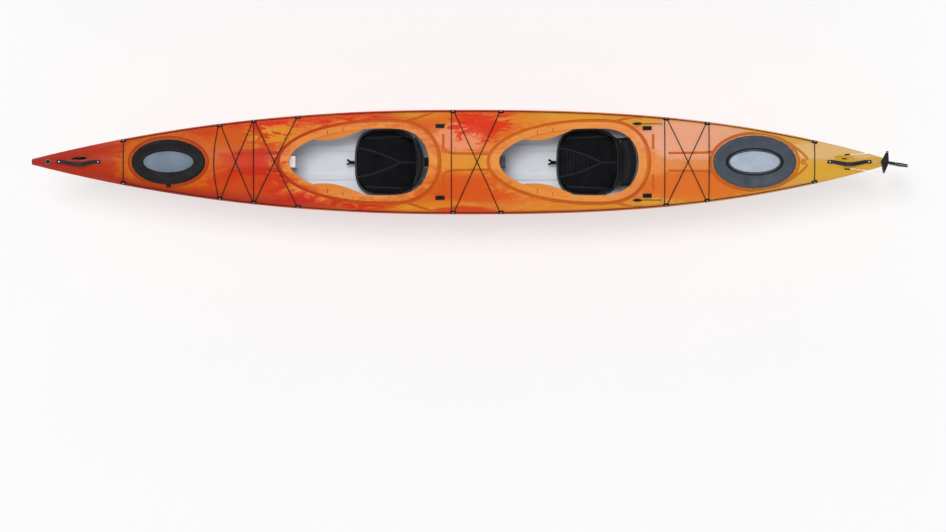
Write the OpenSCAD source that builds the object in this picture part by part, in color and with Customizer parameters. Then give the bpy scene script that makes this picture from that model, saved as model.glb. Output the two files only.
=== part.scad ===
// Two-seat touring kayak with hatches, foot braces, a drop-down skeg and a foot-steered rudder.
// +X runs from bow to stern, +Y to starboard, +Z up. The origin is under the keel amidships.

/* [Hull] */
// Length of the moulded hull, stem to sternpost
hull_length = 5400; // [5300:10:5600]
// Greatest beam, gunwale to gunwale
beam = 662; // [640:2:700]
// Height of the gunwale edge above the keel amidships
gunwale_height = 192; // [184:1:200]
// Extra height of the gunwale edge at the bow
bow_sheer = 92; // [80:1:100]
// Extra height of the gunwale edge at the stern
stern_sheer = 66; // [55:1:75]
// Power of the gunwale's rise towards the ends
sheer_power = 2.3; // [2:0.1:2.6]
// Thickness of the moulded wall
wall = 5; // [4.5:0.25:6]
// Half width of the flat along the keel
keel_flat = 40; // [38:1:46]
// Length of the raked stem
stem_length = 470; // [430:10:520]
// Length of the raked sternpost
stern_length = 180; // [150:10:200]
// Height of the blunt end of the hull under the gunwale edge
nose_height = 12; // [8:1:16]
// Half breadth of the blunt ends
end_breadth = 18; // [16:1:22]
// Fullness of the waterline ahead of amidships
bow_fullness = 2.2; // [2.1:0.05:2.4]
// Fullness of the waterline behind amidships
stern_fullness = 2.6; // [2.5:0.05:2.8]
// Fullness of the section amidships
bilge_middle = 2.4; // [2.2:0.05:2.6]
// Fullness of the sections at the ends
bilge_ends = 1.35; // [1.25:0.05:1.5]
// Solid length at the bow, ahead of the hollow
bow_solid = 130; // [110:5:160]
// Solid length at the stern, behind the hollow
stern_solid = 70; // [64:2:76]

/* [Deck] */
// Height of the deck at the stem
bow_deck = 322; // [314:1:328]
// Height of the fore deck around the bow hatch
fore_deck = 311; // [306:1:316]
// Height of the deck just ahead of each cockpit
knee_deck = 338; // [332:1:344]
// Height of the deck line beside each seat
seat_deck = 286; // [282:1:290]
// Height of the deck line at the back of each cockpit
back_deck = 280; // [276:1:284]
// Height of the aft deck around the stern hatch
aft_deck = 303; // [299:1:308]
// Height of the deck at the sternpost
stern_deck = 307; // [303:1:312]
// Width of the bevel above the gunwale edge
bevel_width = 26; // [24:1:30]
// Height of the bevel above the gunwale edge
bevel_height = 45; // [43:1:48]
// Roundness of the deck across the beam
crown_power = 2.2; // [2:0.1:2.5]

/* [Cockpits] */
// Front edge of the front cockpit opening ahead of amidships, as a share of half the hull's length
front_cockpit_share = 0.399259; // [0.395:0.001:0.404]
// Front edge of the rear cockpit opening behind amidships, as a share of half the hull's length
rear_cockpit_share = 0.091111; // [0.087:0.001:0.095]
// Length of a cockpit opening
cockpit_length = 882; // [860:2:900]
// Width of a cockpit opening
cockpit_width = 424; // [410:2:436]
// Distance from an opening's front edge to its widest place
cockpit_widest = 600; // [570:5:630]
// Height of the coaming above the deck
coaming_height = 24; // [18:1:30]
// Width of the coaming's flange at the sides
coaming_side = 38; // [30:1:42]
// Width of the coaming's flange at the ends
coaming_end = 56; // [48:1:60]
// Thickness of the coaming's flange
coaming_lip = 7; // [5:1:9]
// How far the thigh flanges reach into the opening
thigh_reach = 36; // [28:1:42]

/* [Hatches] */
// Centre of the bow hatch ahead of amidships, as a share of half the hull's length
bow_hatch_share = 0.681111; // [0.677:0.001:0.685]
// Length of the bow hatch cover
bow_hatch_length = 467; // [450:1:475]
// Width of the bow hatch cover
bow_hatch_width = 284; // [270:1:290]
// Centre of the stern hatch behind amidships, as a share of half the hull's length
stern_hatch_share = 0.688519; // [0.685:0.001:0.693]
// Length of the stern hatch cover
stern_hatch_length = 528; // [510:1:536]
// Width of the stern hatch cover
stern_hatch_width = 335; // [320:1:340]
// Depth of the dips in the deck that the hatches sit in
hatch_dip = 14; // [12:1:16]
// Height of the hatch rims above the deck at the ends of the covers
hatch_rim = 2; // [1.5:0.5:5]
// Thickness of the hatch covers
hatch_cover = 9; // [7:0.5:11]
// Width of the hatch rims, cover skirt to opening
hatch_land = 24; // [18:1:28]
// Length of the light plate in each cover
hatch_plate_length = 316; // [300:1:325]
// Width of the light plate in each cover
hatch_plate_width = 132; // [120:1:140]

/* [Seats] */
// Room between the front seat and the back of its cockpit
front_seat_room = 72; // [64:1:78]
// Room between the rear seat and the back of its cockpit
rear_seat_room = 118; // [112:1:124]
// Length of a seat pan
seat_length = 400; // [390:1:404]
// Width of a seat pan at its rim
seat_width = 424; // [410:1:430]
// Height of the pan's rim above its base
pan_height = 52; // [46:1:56]
// Wall of the seat pan
pan_wall = 4; // [3:0.5:5]
// Rise of the cushion above the pan's rim
cushion_rise = 16; // [12:1:18]
// Depth of the cushion's sewn channels
channel_depth = 6; // [4:0.5:8]
// Distance of the backrest's hinge behind the pan
hinge_back = 16; // [15:0.5:18]
// Height of the backrest's hinge above the pan's base
hinge_height = 80; // [78:1:84]
// Radius of the backrest's hinge rod
hinge_rod = 5; // [4:0.5:6]
// Height of the backrest above its hinge
backrest_height = 222; // [210:1:226]
// Height of the backrest's lower edge above its hinge
backrest_clear = 55; // [50:1:60]
// Radius of the backrest's curve
backrest_radius = 262; // [250:1:280]
// Half angle of the backrest's curve
backrest_wrap = 35; // [32:1:36]
// Thickness of the backrest's shell
backrest_shell = 6; // [5:0.5:8]
// Thickness of the backrest's pad
backrest_pad = 22; // [18:1:24]
// Lean of the front backrest
front_recline = 4; // [3:1:5]
// Lean of the rear backrest
rear_recline = 20; // [17:1:21]

/* [Foot braces] */
// Room between the bow bulkhead and the front foot rails
front_rail_room = 9.5; // [5.5:0.5:13.5]
// Reach of the rear foot rails ahead of the front seat's back
rear_rail_lead = 61; // [56:1:66]
// Height of the foot rails above the keel
rail_z = 120; // [116:1:124]
// Length of a foot rail
rail_length = 424; // [420:2:430]
// Distance between a rail's two bolts
bolt_spacing = 382; // [376:1:388]
// Radius of a rail bolt's shank
bolt_radius = 3; // [2.5:0.25:3.5]
// Radius of a rail bolt's head
bolt_head = 8; // [7:0.5:9]
// Reach of a foot plate from its carriage
foot_reach = 88; // [80:1:92]
// Height of a foot plate
foot_height = 120; // [112:1:124]

/* [Deck hardware] */
// Radius of the perimeter lines
line_radius = 2.5; // [2:0.25:2.75]
// Radius of the elastic deck cords
cord_radius = 3; // [2.5:0.25:3.5]
// Length of a gunwale fitting
fitting_length = 38; // [36:1:42]
// Width of a gunwale fitting
fitting_width = 22; // [20:0.5:23]
// Height of a gunwale fitting
fitting_height = 9; // [8:0.5:10]
// Distance of the bow handle's front screw from the stem
bow_handle_in = 172; // [168:1:176]
// Distance of the stern handle's back screw from the sternpost
stern_handle_in = 121; // [117:1:125]
// Distance between a handle's screws
handle_span = 246; // [238:1:248]
// Height of a handle's arch
handle_rise = 24; // [20:1:30]
// Width of a handle's strap
handle_width = 22; // [18:1:26]
// Thickness of a handle's strap
handle_thick = 7; // [6:0.5:8]
// Distance of the bow eye from the stem
bow_eye_in = 102; // [98:1:106]
// Radius of the bow eye's hole
eye_radius = 6; // [5:0.5:7]

/* [Skeg] */
// Place of the skeg's pivot behind amidships, as a share of half the hull's length
skeg_share = 0.656296; // [0.654:0.001:0.659]
// Height of the skeg's pivot
skeg_z = 24; // [22:1:26]
// Length of the skeg behind its pivot
skeg_length = 330; // [320:1:336]
// Depth of the skeg below its pivot
skeg_depth = 148; // [140:1:152]
// Thickness of the skeg
skeg_thick = 8; // [6:0.5:9]
// Clearance on each side of the skeg in its box
skeg_room = 3; // [2:0.5:4]
// Wall of the skeg's box
skeg_wall = 4; // [3:0.5:5]
// Height of the skeg's box
skeg_box_height = 180; // [176:1:186]
// Radius of the skeg's pin
skeg_pin_radius = 4; // [3.5:0.25:5]

/* [Rudder] */
// Distance of the rudder's pintle from the sternpost
pintle_in = 28; // [26:1:30]
// Radius of the rudder's pintle
pintle_radius = 6; // [5:0.25:6.5]
// Wall of the pintle's socket
socket_wall = 3; // [2.5:0.25:4]
// Depth of the pintle's socket in the stern
socket_depth = 34; // [30:1:36]
// Reach of each tiller arm
arm_reach = 64; // [58:1:70]
// Turn of the rudder, to port, as it rests
rudder_turn = -10; // [-14:1:-6]
// Distance of the blade's pivot behind the pintle
blade_back = 116; // [112:1:120]
// Height of the blade's pivot above the yoke
blade_up = 20; // [18:1:24]
// Radius of the blade's pivot bolt
blade_bolt_radius = 4; // [3.5:0.25:5]
// Length of the blade below its pivot
blade_length = 485; // [470:1:500]
// Thickness of the blade
blade_thick = 5; // [4:0.5:6]
// Clearance on each side of the blade
blade_room = 0.5; // [0.4:0.1:0.8]
// Thickness of each cheek plate
cheek_thick = 6; // [5:0.5:8]

/* [Hidden] */

// Clearances: fixed pieces side by side, fittings on the deck, pieces that slide, and bores on their pins
seat_gap = 0.3;
deck_gap = 0.7;
slide_gap = 0.4;
bore_gap = 0.05;
round_fn = 48;
// Length of the cutters, which pass right through the deck
cut_height = 2 * knee_deck;

// Colours
orange = "darkorange";
black = [0.07, 0.07, 0.08];
grey = [0.72, 0.76, 0.78];
white = [0.92, 0.93, 0.94];
steel = [0.75, 0.76, 0.78];
slate = [0.24, 0.27, 0.31];

// Hull lines

half_length = hull_length / 2;

// The places along the hull spread with its length, the end fittings keep to the ends,
// and the seats and rails keep to the cockpits and the bulkhead
bulkhead_thick = 12;
bow_bulkhead_back = 16;
stern_bulkhead_back = 90;
front_cockpit_x = -front_cockpit_share * half_length;
rear_cockpit_x = rear_cockpit_share * half_length;
front_cockpit_end = front_cockpit_x + cockpit_length;
rear_cockpit_end = rear_cockpit_x + cockpit_length;
bow_hatch_x = -bow_hatch_share * half_length;
stern_hatch_x = stern_hatch_share * half_length;
bow_bulkhead_x = bow_hatch_x + bow_hatch_length / 2 + bow_bulkhead_back;
stern_bulkhead_x = rear_cockpit_end + stern_bulkhead_back;
front_seat_x = front_cockpit_end - front_seat_room - seat_length;
rear_seat_x = rear_cockpit_end - rear_seat_room - seat_length;
front_rail_x = bow_bulkhead_x + bulkhead_thick / 2 + front_rail_room + rail_length / 2;
rear_rail_x = front_cockpit_end - front_seat_room - rear_rail_lead + rail_length / 2;
bow_eye_x = bow_eye_in - half_length;
bow_handle_x = bow_handle_in - half_length;
stern_handle_x = half_length - stern_handle_in - handle_span;
skeg_x = skeg_share * half_length;
pintle_x = half_length - pintle_in;

station_step = 150;
hull_steps = 7;
stem_curve = 1.3;
stern_curve = 1.05;
keel_share = 0.3;

function mix(a, b, t) = a + (b - a) * t;
function share(x) = abs(x) / half_length;
function breadth_curve(x) = end_breadth + (beam / 2 - end_breadth)
    * (1 - pow(share(x), x < 0 ? bow_fullness : stern_fullness));
function sheer_curve(x) = gunwale_height + (x < 0 ? bow_sheer : stern_sheer) * pow(share(x), sheer_power);
function stem_curve_z(x) = (sheer_curve(-half_length) - nose_height)
    * pow(max(0, stem_length - half_length - x) / stem_length, stem_curve);
function sternpost_curve_z(x) = (sheer_curve(half_length) - nose_height)
    * pow(max(0, x - half_length + stern_length) / stern_length, stern_curve);
function keel_curve(x) = x < 0 ? stem_curve_z(x) : sternpost_curve_z(x);

function bilge(x) = bilge_ends + (bilge_middle - bilge_ends) * (1 - pow(share(x), 2));
function flat_at(x) = min(keel_flat, keel_share * half_breadth(x));

// Half breadth of the hull at a height, inside a skin of the given thickness
function hull_y(x, z, inset) = lookup(z, [for (p = hull_side(x, inset, 0)) [p[1], p[0]]]);

// One side of a hull section, from the gunwale edge down to the keel
function hull_side(x, inset, lift) = let (
    b = half_breadth(x) - inset,
    f = flat_at(x) - min(inset, flat_at(x) / 2),
    k = keel_z(x) + inset,
    g = gunwale_z(x),
    e = 2 / bilge(x))
    [for (i = [0:hull_steps]) let (a = 90 * (1 - i / hull_steps))
        [f + (b - f) * pow(sin(a), e), g - (g - k) * pow(cos(a), e) + (i == 0 ? lift : 0)]];

function other_side(side) = [for (i = [len(side) - 1:-1:0]) [-side[i][0], side[i][1]]];
function hull_ring(x, inset = 0, lift = 0) = let (side = hull_side(x, inset, lift))
    concat(side, other_side(side));
function at(x, ring) = [for (p = ring) [x, p[0], p[1]]];

// Deck lines

dip_ramp = 50;
share_marks = [0, 0.23, 0.46, 0.68, 0.86, 1];
deck_shares = [for (i = [len(share_marks) - 1:-1:1]) share_marks[i]];
bevel_share = 0.62;
bevel_limit = 0.35;

// Distances from a cockpit's front edge at which the deck line stops rising, falls and levels out again
knee_from = -40;
knee_to = 150;
fall_at = 290;
seat_from = 400;
seat_to = 520;
knee_drop = 2;
seat_rise = 6;
aft_from = 110;
aft_rise = 4;
// Heights of the deck's centre line along one cockpit
function cockpit_line(x0) = [
    [x0 + knee_from, knee_deck], [x0 + knee_to, knee_deck - knee_drop],
    [x0 + fall_at, mix(seat_deck, knee_deck, 0.5)], [x0 + seat_from, seat_deck + seat_rise],
    [x0 + seat_to, seat_deck], [x0 + cockpit_length, back_deck]];
bow_start_x = stem_length - half_length;
stern_start_x = half_length - stern_length;
// Heights along the dip under one hatch
function dip_line(x, half, deck) = [
    [x - half - dip_ramp, deck], [x - half + dip_ramp, deck - hatch_dip],
    [x + half - dip_ramp, deck - hatch_dip], [x + half + dip_ramp, deck]];
deck_line = concat(
    [[-half_length, bow_deck], [bow_start_x, mix(fore_deck, bow_deck, 0.6)]],
    dip_line(bow_hatch_x, bow_hatch_length / 2, fore_deck),
    cockpit_line(front_cockpit_x),
    cockpit_line(rear_cockpit_x),
    [[rear_cockpit_end + aft_from, aft_deck + aft_rise]],
    dip_line(stern_hatch_x, stern_hatch_length / 2, aft_deck),
    [[stern_start_x, mix(aft_deck, stern_deck, 0.7)], [half_length, stern_deck]]);

function slope_at(p, i) = i == 0 || i == len(p) - 1 ? 0
    : (p[i + 1][1] - p[i - 1][1]) / (p[i + 1][0] - p[i - 1][0]);
function span_at(p, x, i = 0) = i >= len(p) - 2 || x < p[i + 1][0] ? i : span_at(p, x, i + 1);
function curve(p, x) = let (
    i = span_at(p, x),
    h = p[i + 1][0] - p[i][0],
    t = (x - p[i][0]) / h,
    rise = t * t * (3 - 2 * t))
    mix(p[i][1], p[i + 1][1], rise)
        + h * slope_at(p, i) * t * (1 - t) * (1 - t)
        - h * slope_at(p, i + 1) * t * t * (1 - t);

// Stations along the hull: at each height given for the deck, and evenly between them
station_marks = [for (p = deck_line) p[0]];
outer_stations = concat([for (i = [0:len(station_marks) - 2]) let (
    a = station_marks[i],
    b = station_marks[i + 1],
    n = ceil((b - a) / station_step))
    for (k = [0:n - 1]) mix(a, b, k / n)], [half_length]);
// The lines run straight from station to station, so that what is fitted to them meets the moulding
breadth_table = [for (x = outer_stations) [x, breadth_curve(x)]];
sheer_table = [for (x = outer_stations) [x, sheer_curve(x)]];
keel_table = [for (x = outer_stations) [x, keel_curve(x)]];
crown_table = [for (x = outer_stations) [x, curve(deck_line, x)]];
function half_breadth(x) = lookup(x, breadth_table);
function gunwale_z(x) = lookup(x, sheer_table);
function keel_z(x) = lookup(x, keel_table);
function crown_z(x) = lookup(x, crown_table);
function bevel_in(x) = min(bevel_width, bevel_limit * half_breadth(x));
function shoulder_y(x) = half_breadth(x) - bevel_in(x);
function bevel_up(x) = min(bevel_height, bevel_share * (crown_z(x) - gunwale_z(x)));
function shoulder_z(x) = gunwale_z(x) + bevel_up(x);
function section_z(x, f) = mix(crown_z(x), shoulder_z(x), pow(f, crown_power));
function index_of(list, v, i = 0) = i >= len(list) - 2 || v < list[i + 1] ? i : index_of(list, v, i + 1);
// Height of the deck inside the shoulders, on the triangle that the place falls in
function facet_z(x, f) = let (
    i = index_of(outer_stations, x),
    k = index_of(share_marks, f),
    a = outer_stations[i],
    b = outer_stations[i + 1],
    t = (x - a) / (b - a),
    s = (f - share_marks[k]) / (share_marks[k + 1] - share_marks[k]),
    a0 = section_z(a, share_marks[k]),
    a1 = section_z(a, share_marks[k + 1]),
    b0 = section_z(b, share_marks[k]),
    b1 = section_z(b, share_marks[k + 1]))
    s + t <= 1 ? a0 + s * (a1 - a0) + t * (b0 - a0) : b1 + (1 - s) * (b0 - b1) + (1 - t) * (a1 - b1);
function deck_z(x, y) = abs(y) > shoulder_y(x)
    ? gunwale_z(x) + bevel_up(x) * (half_breadth(x) - abs(y)) / bevel_in(x)
    : facet_z(x, abs(y) / shoulder_y(x));

// One side of a deck section, from the gunwale edge up towards the crown
function deck_side(x, inset, drop) = concat(
    [[half_breadth(x) - inset, gunwale_z(x) - drop]],
    [for (f = deck_shares) [f * (shoulder_y(x) - inset / 2), section_z(x, f) - inset]]);
function deck_ring(x, inset = 0, drop = 0) = let (side = deck_side(x, inset, drop))
    concat([for (p = side) [-p[0], p[1]]], [[0, crown_z(x) - inset]],
        [for (i = [len(side) - 1:-1:0]) side[i]]);

// Skins and sweeps

// A skin over rings of points, closed by its end rings or running round on itself.
// The second half of each ring is cut into triangles as a mirror image of the first.
module skin(rings, round_loop = false) {
    n = len(rings[0]);
    m = len(rings);
    sides = [for (j = [0:(round_loop ? m : m - 1) - 1], i = [0:n - 1])
        let (k = (j + 1) % m, l = (i + 1) % n, a = j * n + i, b = j * n + l, c = k * n + l, d = k * n + i)
        each (i < n / 2 ? [[a, b, c], [a, c, d]] : [[a, b, d], [b, c, d]])];
    ends = round_loop ? [] : [[for (i = [n - 1:-1:0]) i], [for (i = [0:n - 1]) (m - 1) * n + i]];
    polyhedron(points = [for (r = rings) each r], faces = concat(sides, ends), convexity = 10);
}

function unit(v) = v / norm(v);
function heading(path, i) = unit(path[min(i + 1, len(path) - 1)] - path[max(i - 1, 0)]);

// A round cord along a path
module cord(path, radius, sides = 8) {
    skin([for (i = [0:len(path) - 1]) let (
        t = heading(path, i),
        u = unit(cross(t, abs(t[2]) > 0.9 ? [1, 0, 0] : [0, 0, 1])),
        v = cross(t, u))
        [for (k = [0:sides - 1]) let (a = -360 * k / sides) path[i] + radius * (cos(a) * u + sin(a) * v)]]);
}

// An oval ring of points, clockwise from above
oval_points = 28;
function oval(a, b, n = oval_points) = [for (k = [0:n - 1]) [a * cos(-360 * k / n), b * sin(-360 * k / n)]];
function raise(points, z) = [for (p = points) [p[0], p[1], z]];

module both_sides() {
    children();
    mirror([0, 1, 0]) children();
}

module side_of(side) {
    if (side > 0) children();
    else mirror([0, 1, 0]) children();
}

// A frame on the deck's surface, with its z along the deck's normal
module on_deck(x, y) {
    pitch = atan((deck_z(x + 1, y) - deck_z(x - 1, y)) / 2);
    roll = atan((deck_z(x, y + 1) - deck_z(x, y - 1)) / 2);
    translate([x, y, deck_z(x, y)]) rotate([roll, -pitch, 0]) translate([0, 0, deck_gap]) children();
}

// Hull and deck mouldings

track_inner = 74;
track_outer = 110;
track_top = 22;
track_margin = 40;
bolt_hole = bolt_radius + slide_gap;
bolt_cut = 30;
skeg_slot = skeg_thick + 2 * skeg_room + 2 * skeg_wall;
socket_hole = pintle_radius + socket_wall + slide_gap;

function stations_between(a, b) = concat([a], [for (x = outer_stations) if (x > a + 1 && x < b - 1) x], [b]);
hollow_stations = stations_between(bow_solid - half_length, half_length - stern_solid);

module hull_shell() {
    color(orange) resize([hull_length, beam, 0]) difference() {
        skin([for (x = outer_stations) at(x, hull_ring(x))]);
        skin([for (x = hollow_stations) at(x, hull_ring(x, wall, 1))]);
        rail_bolt_holes();
        translate([skeg_box_front - slide_gap, -skeg_slot / 2 - slide_gap, -1])
            cube([skeg_box_length + 2 * slide_gap, skeg_slot + 2 * slide_gap, cut_height]);
        translate([pintle_x, 0, socket_bottom - slide_gap])
            cylinder(r = socket_hole, h = cut_height, $fn = round_fn / 2);
    }
}

// Height of the floor inside the hull, with a seating gap
function floor_z(x, y) = seat_gap + lookup(y, [for (p = hull_side(x, wall, 0)) [p[0], p[1]]]);

// Tracks along both cockpit floors, which carry the seats
module seat_tracks() {
    color(white) both_sides() for (x0 = [front_cockpit_x, rear_cockpit_x])
        skin([for (x = stations_between(x0 + track_margin, x0 + cockpit_length - track_margin))
            [[x, track_outer, track_top], [x, track_outer, floor_z(x, track_outer)],
             [x, track_inner, floor_z(x, track_inner)], [x, track_inner, track_top]]]);
}

module rail_bolt_holes() {
    for (x = [front_rail_x, rear_rail_x]) both_sides() rail_frame(x) for (s = [-1, 1])
        translate([s * bolt_spacing / 2, 0, 0]) rotate([90, 0, 0])
            cylinder(r = bolt_hole, h = 2 * bolt_cut, center = true, $fn = round_fn / 3);
}

// The edge of a cockpit opening, grown by a flange at its ends and sides
back_round = 3;
coaming_points = 44;
function signed(v, p) = sign(v) * pow(abs(v), p);
function cockpit_edge(x0, a, end = 0, side = 0) = let (
    front = cos(a) < 0,
    reach = (front ? cockpit_widest : cockpit_length - cockpit_widest) + end)
    [x0 + cockpit_widest + reach * (front ? cos(a) : pow(cos(a), 2 / back_round)),
     (cockpit_width / 2 + side) * sin(a)];
function cockpit_outline(x0, grow) = [for (k = [0:coaming_points - 1])
    cockpit_edge(x0, 360 * k / coaming_points, grow, grow)];

coaming_wall = 12;
coaming_root = 0.8;
cut_margin = 4;

function coaming_section(x0, a) = let (
    p = cockpit_edge(x0, a),
    o = cockpit_edge(x0, a, coaming_end, coaming_side),
    r = p + (o - p) * coaming_wall / norm(o - p),
    root = coaming_root * wall,
    top = deck_z(p[0], p[1]) + coaming_height)
    [[p[0], p[1], deck_z(p[0], p[1]) - root], [r[0], r[1], deck_z(r[0], r[1]) - root],
     [r[0], r[1], top - coaming_lip], [o[0], o[1], top - coaming_lip], [o[0], o[1], top], [p[0], p[1], top]];

module coaming(x0) {
    skin([for (k = [0:coaming_points - 1]) coaming_section(x0, 360 * k / coaming_points)], true);
}

// A flange that the paddler's thigh presses against, along one side of a cockpit
thigh_from = 103;
thigh_to = 137;
thigh_steps = 8;
thigh_thick = 8;
thigh_fall = 14;
function thigh_section(x0, t) = let (
    p = cockpit_edge(x0, mix(thigh_to, thigh_from, t), cut_margin, cut_margin),
    q = [p[0], p[1] - 2 * cut_margin - thigh_reach * sin(180 * t)],
    z = deck_z(p[0], p[1]) + coaming_height / 2,
    low = z - thigh_fall * sin(180 * t))
    [[p[0], p[1], z - thigh_thick], [q[0], q[1], low - thigh_thick], [q[0], q[1], low], [p[0], p[1], z]];

module thigh_flange(x0) {
    skin([for (i = [0:thigh_steps]) thigh_section(x0, i / thigh_steps)]);
}

module cockpit_opening(x0) {
    linear_extrude(height = cut_height) polygon(cockpit_outline(x0, cut_margin));
}

// Hatches

skirt_wall = 8;
skirt_gap = 1.2;
rim_gap = 1;
// Insets of a cover's rolled edge, of its crest and of the valley inside that
edge_inset = 5;
crest_inset = 16;
valley_inset = 30;
edge_drop = 2;
valley_drop = 3;
plate_border = 6;
plate_edge = 2;
plate_rise = 7;
plate_crown = 36;
bow_hatch = [bow_hatch_x, bow_hatch_length / 2, bow_hatch_width / 2];
stern_hatch = [stern_hatch_x, stern_hatch_length / 2, stern_hatch_width / 2];

// The oval of a hatch, drawn in from its edge: level, or lying on the deck
function hatch_oval(h, inset) = [for (p = oval(h[1] - inset, h[2] - inset)) [p[0] + h[0], p[1]]];
function on_deck_oval(h, inset, lift) = [for (p = hatch_oval(h, inset))
    [p[0], p[1], deck_z(p[0], p[1]) + lift]];
// A rim is level, and clears the highest part of the deck under its cover
function hatch_top(h) = max([for (p = on_deck_oval(h, 0, 0)) p[2]]) + hatch_rim;

module hatch_opening(h) {
    linear_extrude(height = cut_height) polygon(hatch_oval(h, skirt_wall + hatch_land));
}

// A rim that lies on the deck and is level on top
module hatch_ring(h) {
    outer = skirt_wall + slide_gap;
    inner = skirt_wall + hatch_land;
    low_out = on_deck_oval(h, outer, rim_gap);
    low_in = on_deck_oval(h, inner, rim_gap);
    skin([for (k = [oval_points - 1:-1:0]) let (o = low_out[k], i = low_in[k], top = hatch_top(h))
        [i, o, [o[0], o[1], top], [i[0], i[1], top]]], true);
}

// A rubber cover: a skirt round the rim, a rolled edge and a dished top
module hatch_lid(h) {
    ceiling = hatch_top(h) + seat_gap;
    top = ceiling + hatch_cover;
    skin([
        raise(hatch_oval(h, skirt_wall), ceiling),
        on_deck_oval(h, skirt_wall, skirt_gap),
        on_deck_oval(h, 0, skirt_gap),
        raise(hatch_oval(h, 0), ceiling + 1),
        raise(hatch_oval(h, edge_inset), top - edge_drop),
        raise(hatch_oval(h, crest_inset), top),
        raise(hatch_oval(h, valley_inset), top - valley_drop),
        raise([for (p = plate_oval(-plate_border)) [p[0] + h[0], p[1]]], top - edge_drop)]);
}

function plate_oval(inset) = oval(hatch_plate_length / 2 - inset, hatch_plate_width / 2 - inset);

module hatch_plate(h) {
    translate([h[0], 0, hatch_top(h) + hatch_cover - edge_drop + 2 * seat_gap]) skin([
        raise(plate_oval(0), 0), raise(plate_oval(0), plate_edge),
        raise(plate_oval(plate_border), plate_rise - plate_edge),
        raise(plate_oval(plate_crown), plate_rise)]);
}

module deck_shell() {
    color(orange) resize([hull_length, beam, 0]) difference() {
        union() {
            difference() {
                skin([for (x = outer_stations) at(x, deck_ring(x))]);
                skin([for (x = hollow_stations) at(x, deck_ring(x, wall, 1))]);
                for (x0 = [front_cockpit_x, rear_cockpit_x]) cockpit_opening(x0);
                hatch_opening(bow_hatch);
                hatch_opening(stern_hatch);
            }
            for (x0 = [front_cockpit_x, rear_cockpit_x]) {
                coaming(x0);
                both_sides() thigh_flange(x0);
            }
        }
        translate([pintle_x, 0, socket_bottom - slide_gap])
            cylinder(r = socket_hole, h = cut_height, $fn = round_fn / 2);
    }
}

// Bulkheads and pillars

bulkhead_gap = 0.9;

function full_ring(x, inset) = let (
    low = hull_ring(x, inset),
    high = deck_ring(x, inset),
    n = len(high))
    concat(low, [for (i = [1:n - 2]) high[i]]);

module bulkhead(x) {
    skin([for (d = [-1, 1]) let (s = x + d * bulkhead_thick / 2) at(s, full_ring(s, wall + bulkhead_gap))]);
}

module bow_bulkhead() {
    color(white) bulkhead(bow_bulkhead_x);
}

module stern_bulkhead() {
    color(white) bulkhead(stern_bulkhead_x);
}

pillar_width = 72;
pillar_show = 40;
pillar_back = 60;
pillar_gap = 0.8;
pillar_steps = 8;

// A foam pillar from floor to deck, which ends just inside a cockpit opening
module pillar(x1, x2) {
    y = pillar_width / 2;
    skin([for (i = [0:pillar_steps]) let (
        x = mix(x1, x2, i / pillar_steps),
        top = deck_z(x, y) - wall - pillar_gap,
        floor_z = keel_z(x) + wall + seat_gap)
        [[x, y, top], [x, y, floor_z], [x, -y, floor_z], [x, -y, top]]]);
}

module front_pillar() {
    color(white) pillar(bow_bulkhead_x + bulkhead_thick / 2 + seat_gap, front_cockpit_x + pillar_show);
}

module middle_pillar() {
    color(slate) pillar(front_cockpit_end + pillar_back, rear_cockpit_x + pillar_show);
}

module bow_hatch_rim() { color(black) hatch_ring(bow_hatch); }
module bow_hatch_cover() { color(black) hatch_lid(bow_hatch); }
module bow_hatch_plate() { color(grey) hatch_plate(bow_hatch); }
module stern_hatch_rim() { color(black) hatch_ring(stern_hatch); }
module stern_hatch_cover() { color(slate) hatch_lid(stern_hatch); }
module stern_hatch_plate() { color(grey) hatch_plate(stern_hatch); }

// Seats. A seat's own frame has its x from the pan's front edge aft and its z from the seat tracks up.

seat_round = 3.2;
seat_points = 36;
pan_foot = 62;
pan_foot_ends = 12;
rim_roll = 8;
rim_band = 4;
pan_bend = 18;
pan_inner_bend = 16;

module seat_place(x) {
    translate([x, 0, track_top + seat_gap]) children();
}

function seat_oval(grow, z, grow_x = 0) = [for (k = [0:seat_points - 1]) let (a = -360 * k / seat_points)
    [seat_length / 2 + (seat_length / 2 + grow + grow_x) * signed(cos(a), 2 / seat_round),
     (seat_width / 2 + grow) * signed(sin(a), 2 / seat_round), z]];

hinge_x = seat_length + hinge_back;
ear_y = 66;
ear_thick = 10;
rod_end = 3;
knuckle_y = 44;
knuckle_thick = 18;
stem_x = 3;
stem_thick = 7;
stem_lap = 6;
hinge_boss = hinge_rod + 6;

// A dished pan with two ears behind it for the backrest's hinge
module seat_pan(x) {
    seat_place(x) {
        skin([
            seat_oval(-pan_foot, 0, pan_foot - pan_foot_ends),
            seat_oval(-rim_roll, pan_height - pan_bend),
            seat_oval(0, pan_height - rim_band),
            seat_oval(0, pan_height),
            seat_oval(-rim_roll - pan_wall, pan_height),
            seat_oval(-rim_roll - pan_wall, pan_height - pan_inner_bend),
            seat_oval(-pan_foot - pan_wall, pan_wall, pan_foot - pan_foot_ends)]);
        both_sides() hinge_ear();
    }
}

module hinge_ear() {
    root = 14;
    low = 24;
    difference() {
        translate([0, ear_y + ear_thick, 0]) rotate([90, 0, 0]) linear_extrude(height = ear_thick) {
            polygon([[seat_length - root, low], [seat_length, low], [hinge_x + hinge_boss, hinge_height],
                [hinge_x - hinge_boss, hinge_height], [seat_length - root, pan_height - rim_roll]]);
            translate([hinge_x, hinge_height]) circle(r = hinge_boss, $fn = round_fn);
        }
        translate([hinge_x, 0, hinge_height]) rotate([-90, 0, 0])
            cylinder(r = hinge_rod, h = cut_height, $fn = round_fn);
    }
}

module hinge_bar(x) {
    seat_place(x) translate([hinge_x, 0, hinge_height]) rotate([90, 0, 0])
        cylinder(r = hinge_rod, h = 2 * (ear_y + ear_thick + rod_end), center = true, $fn = round_fn);
}

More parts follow.
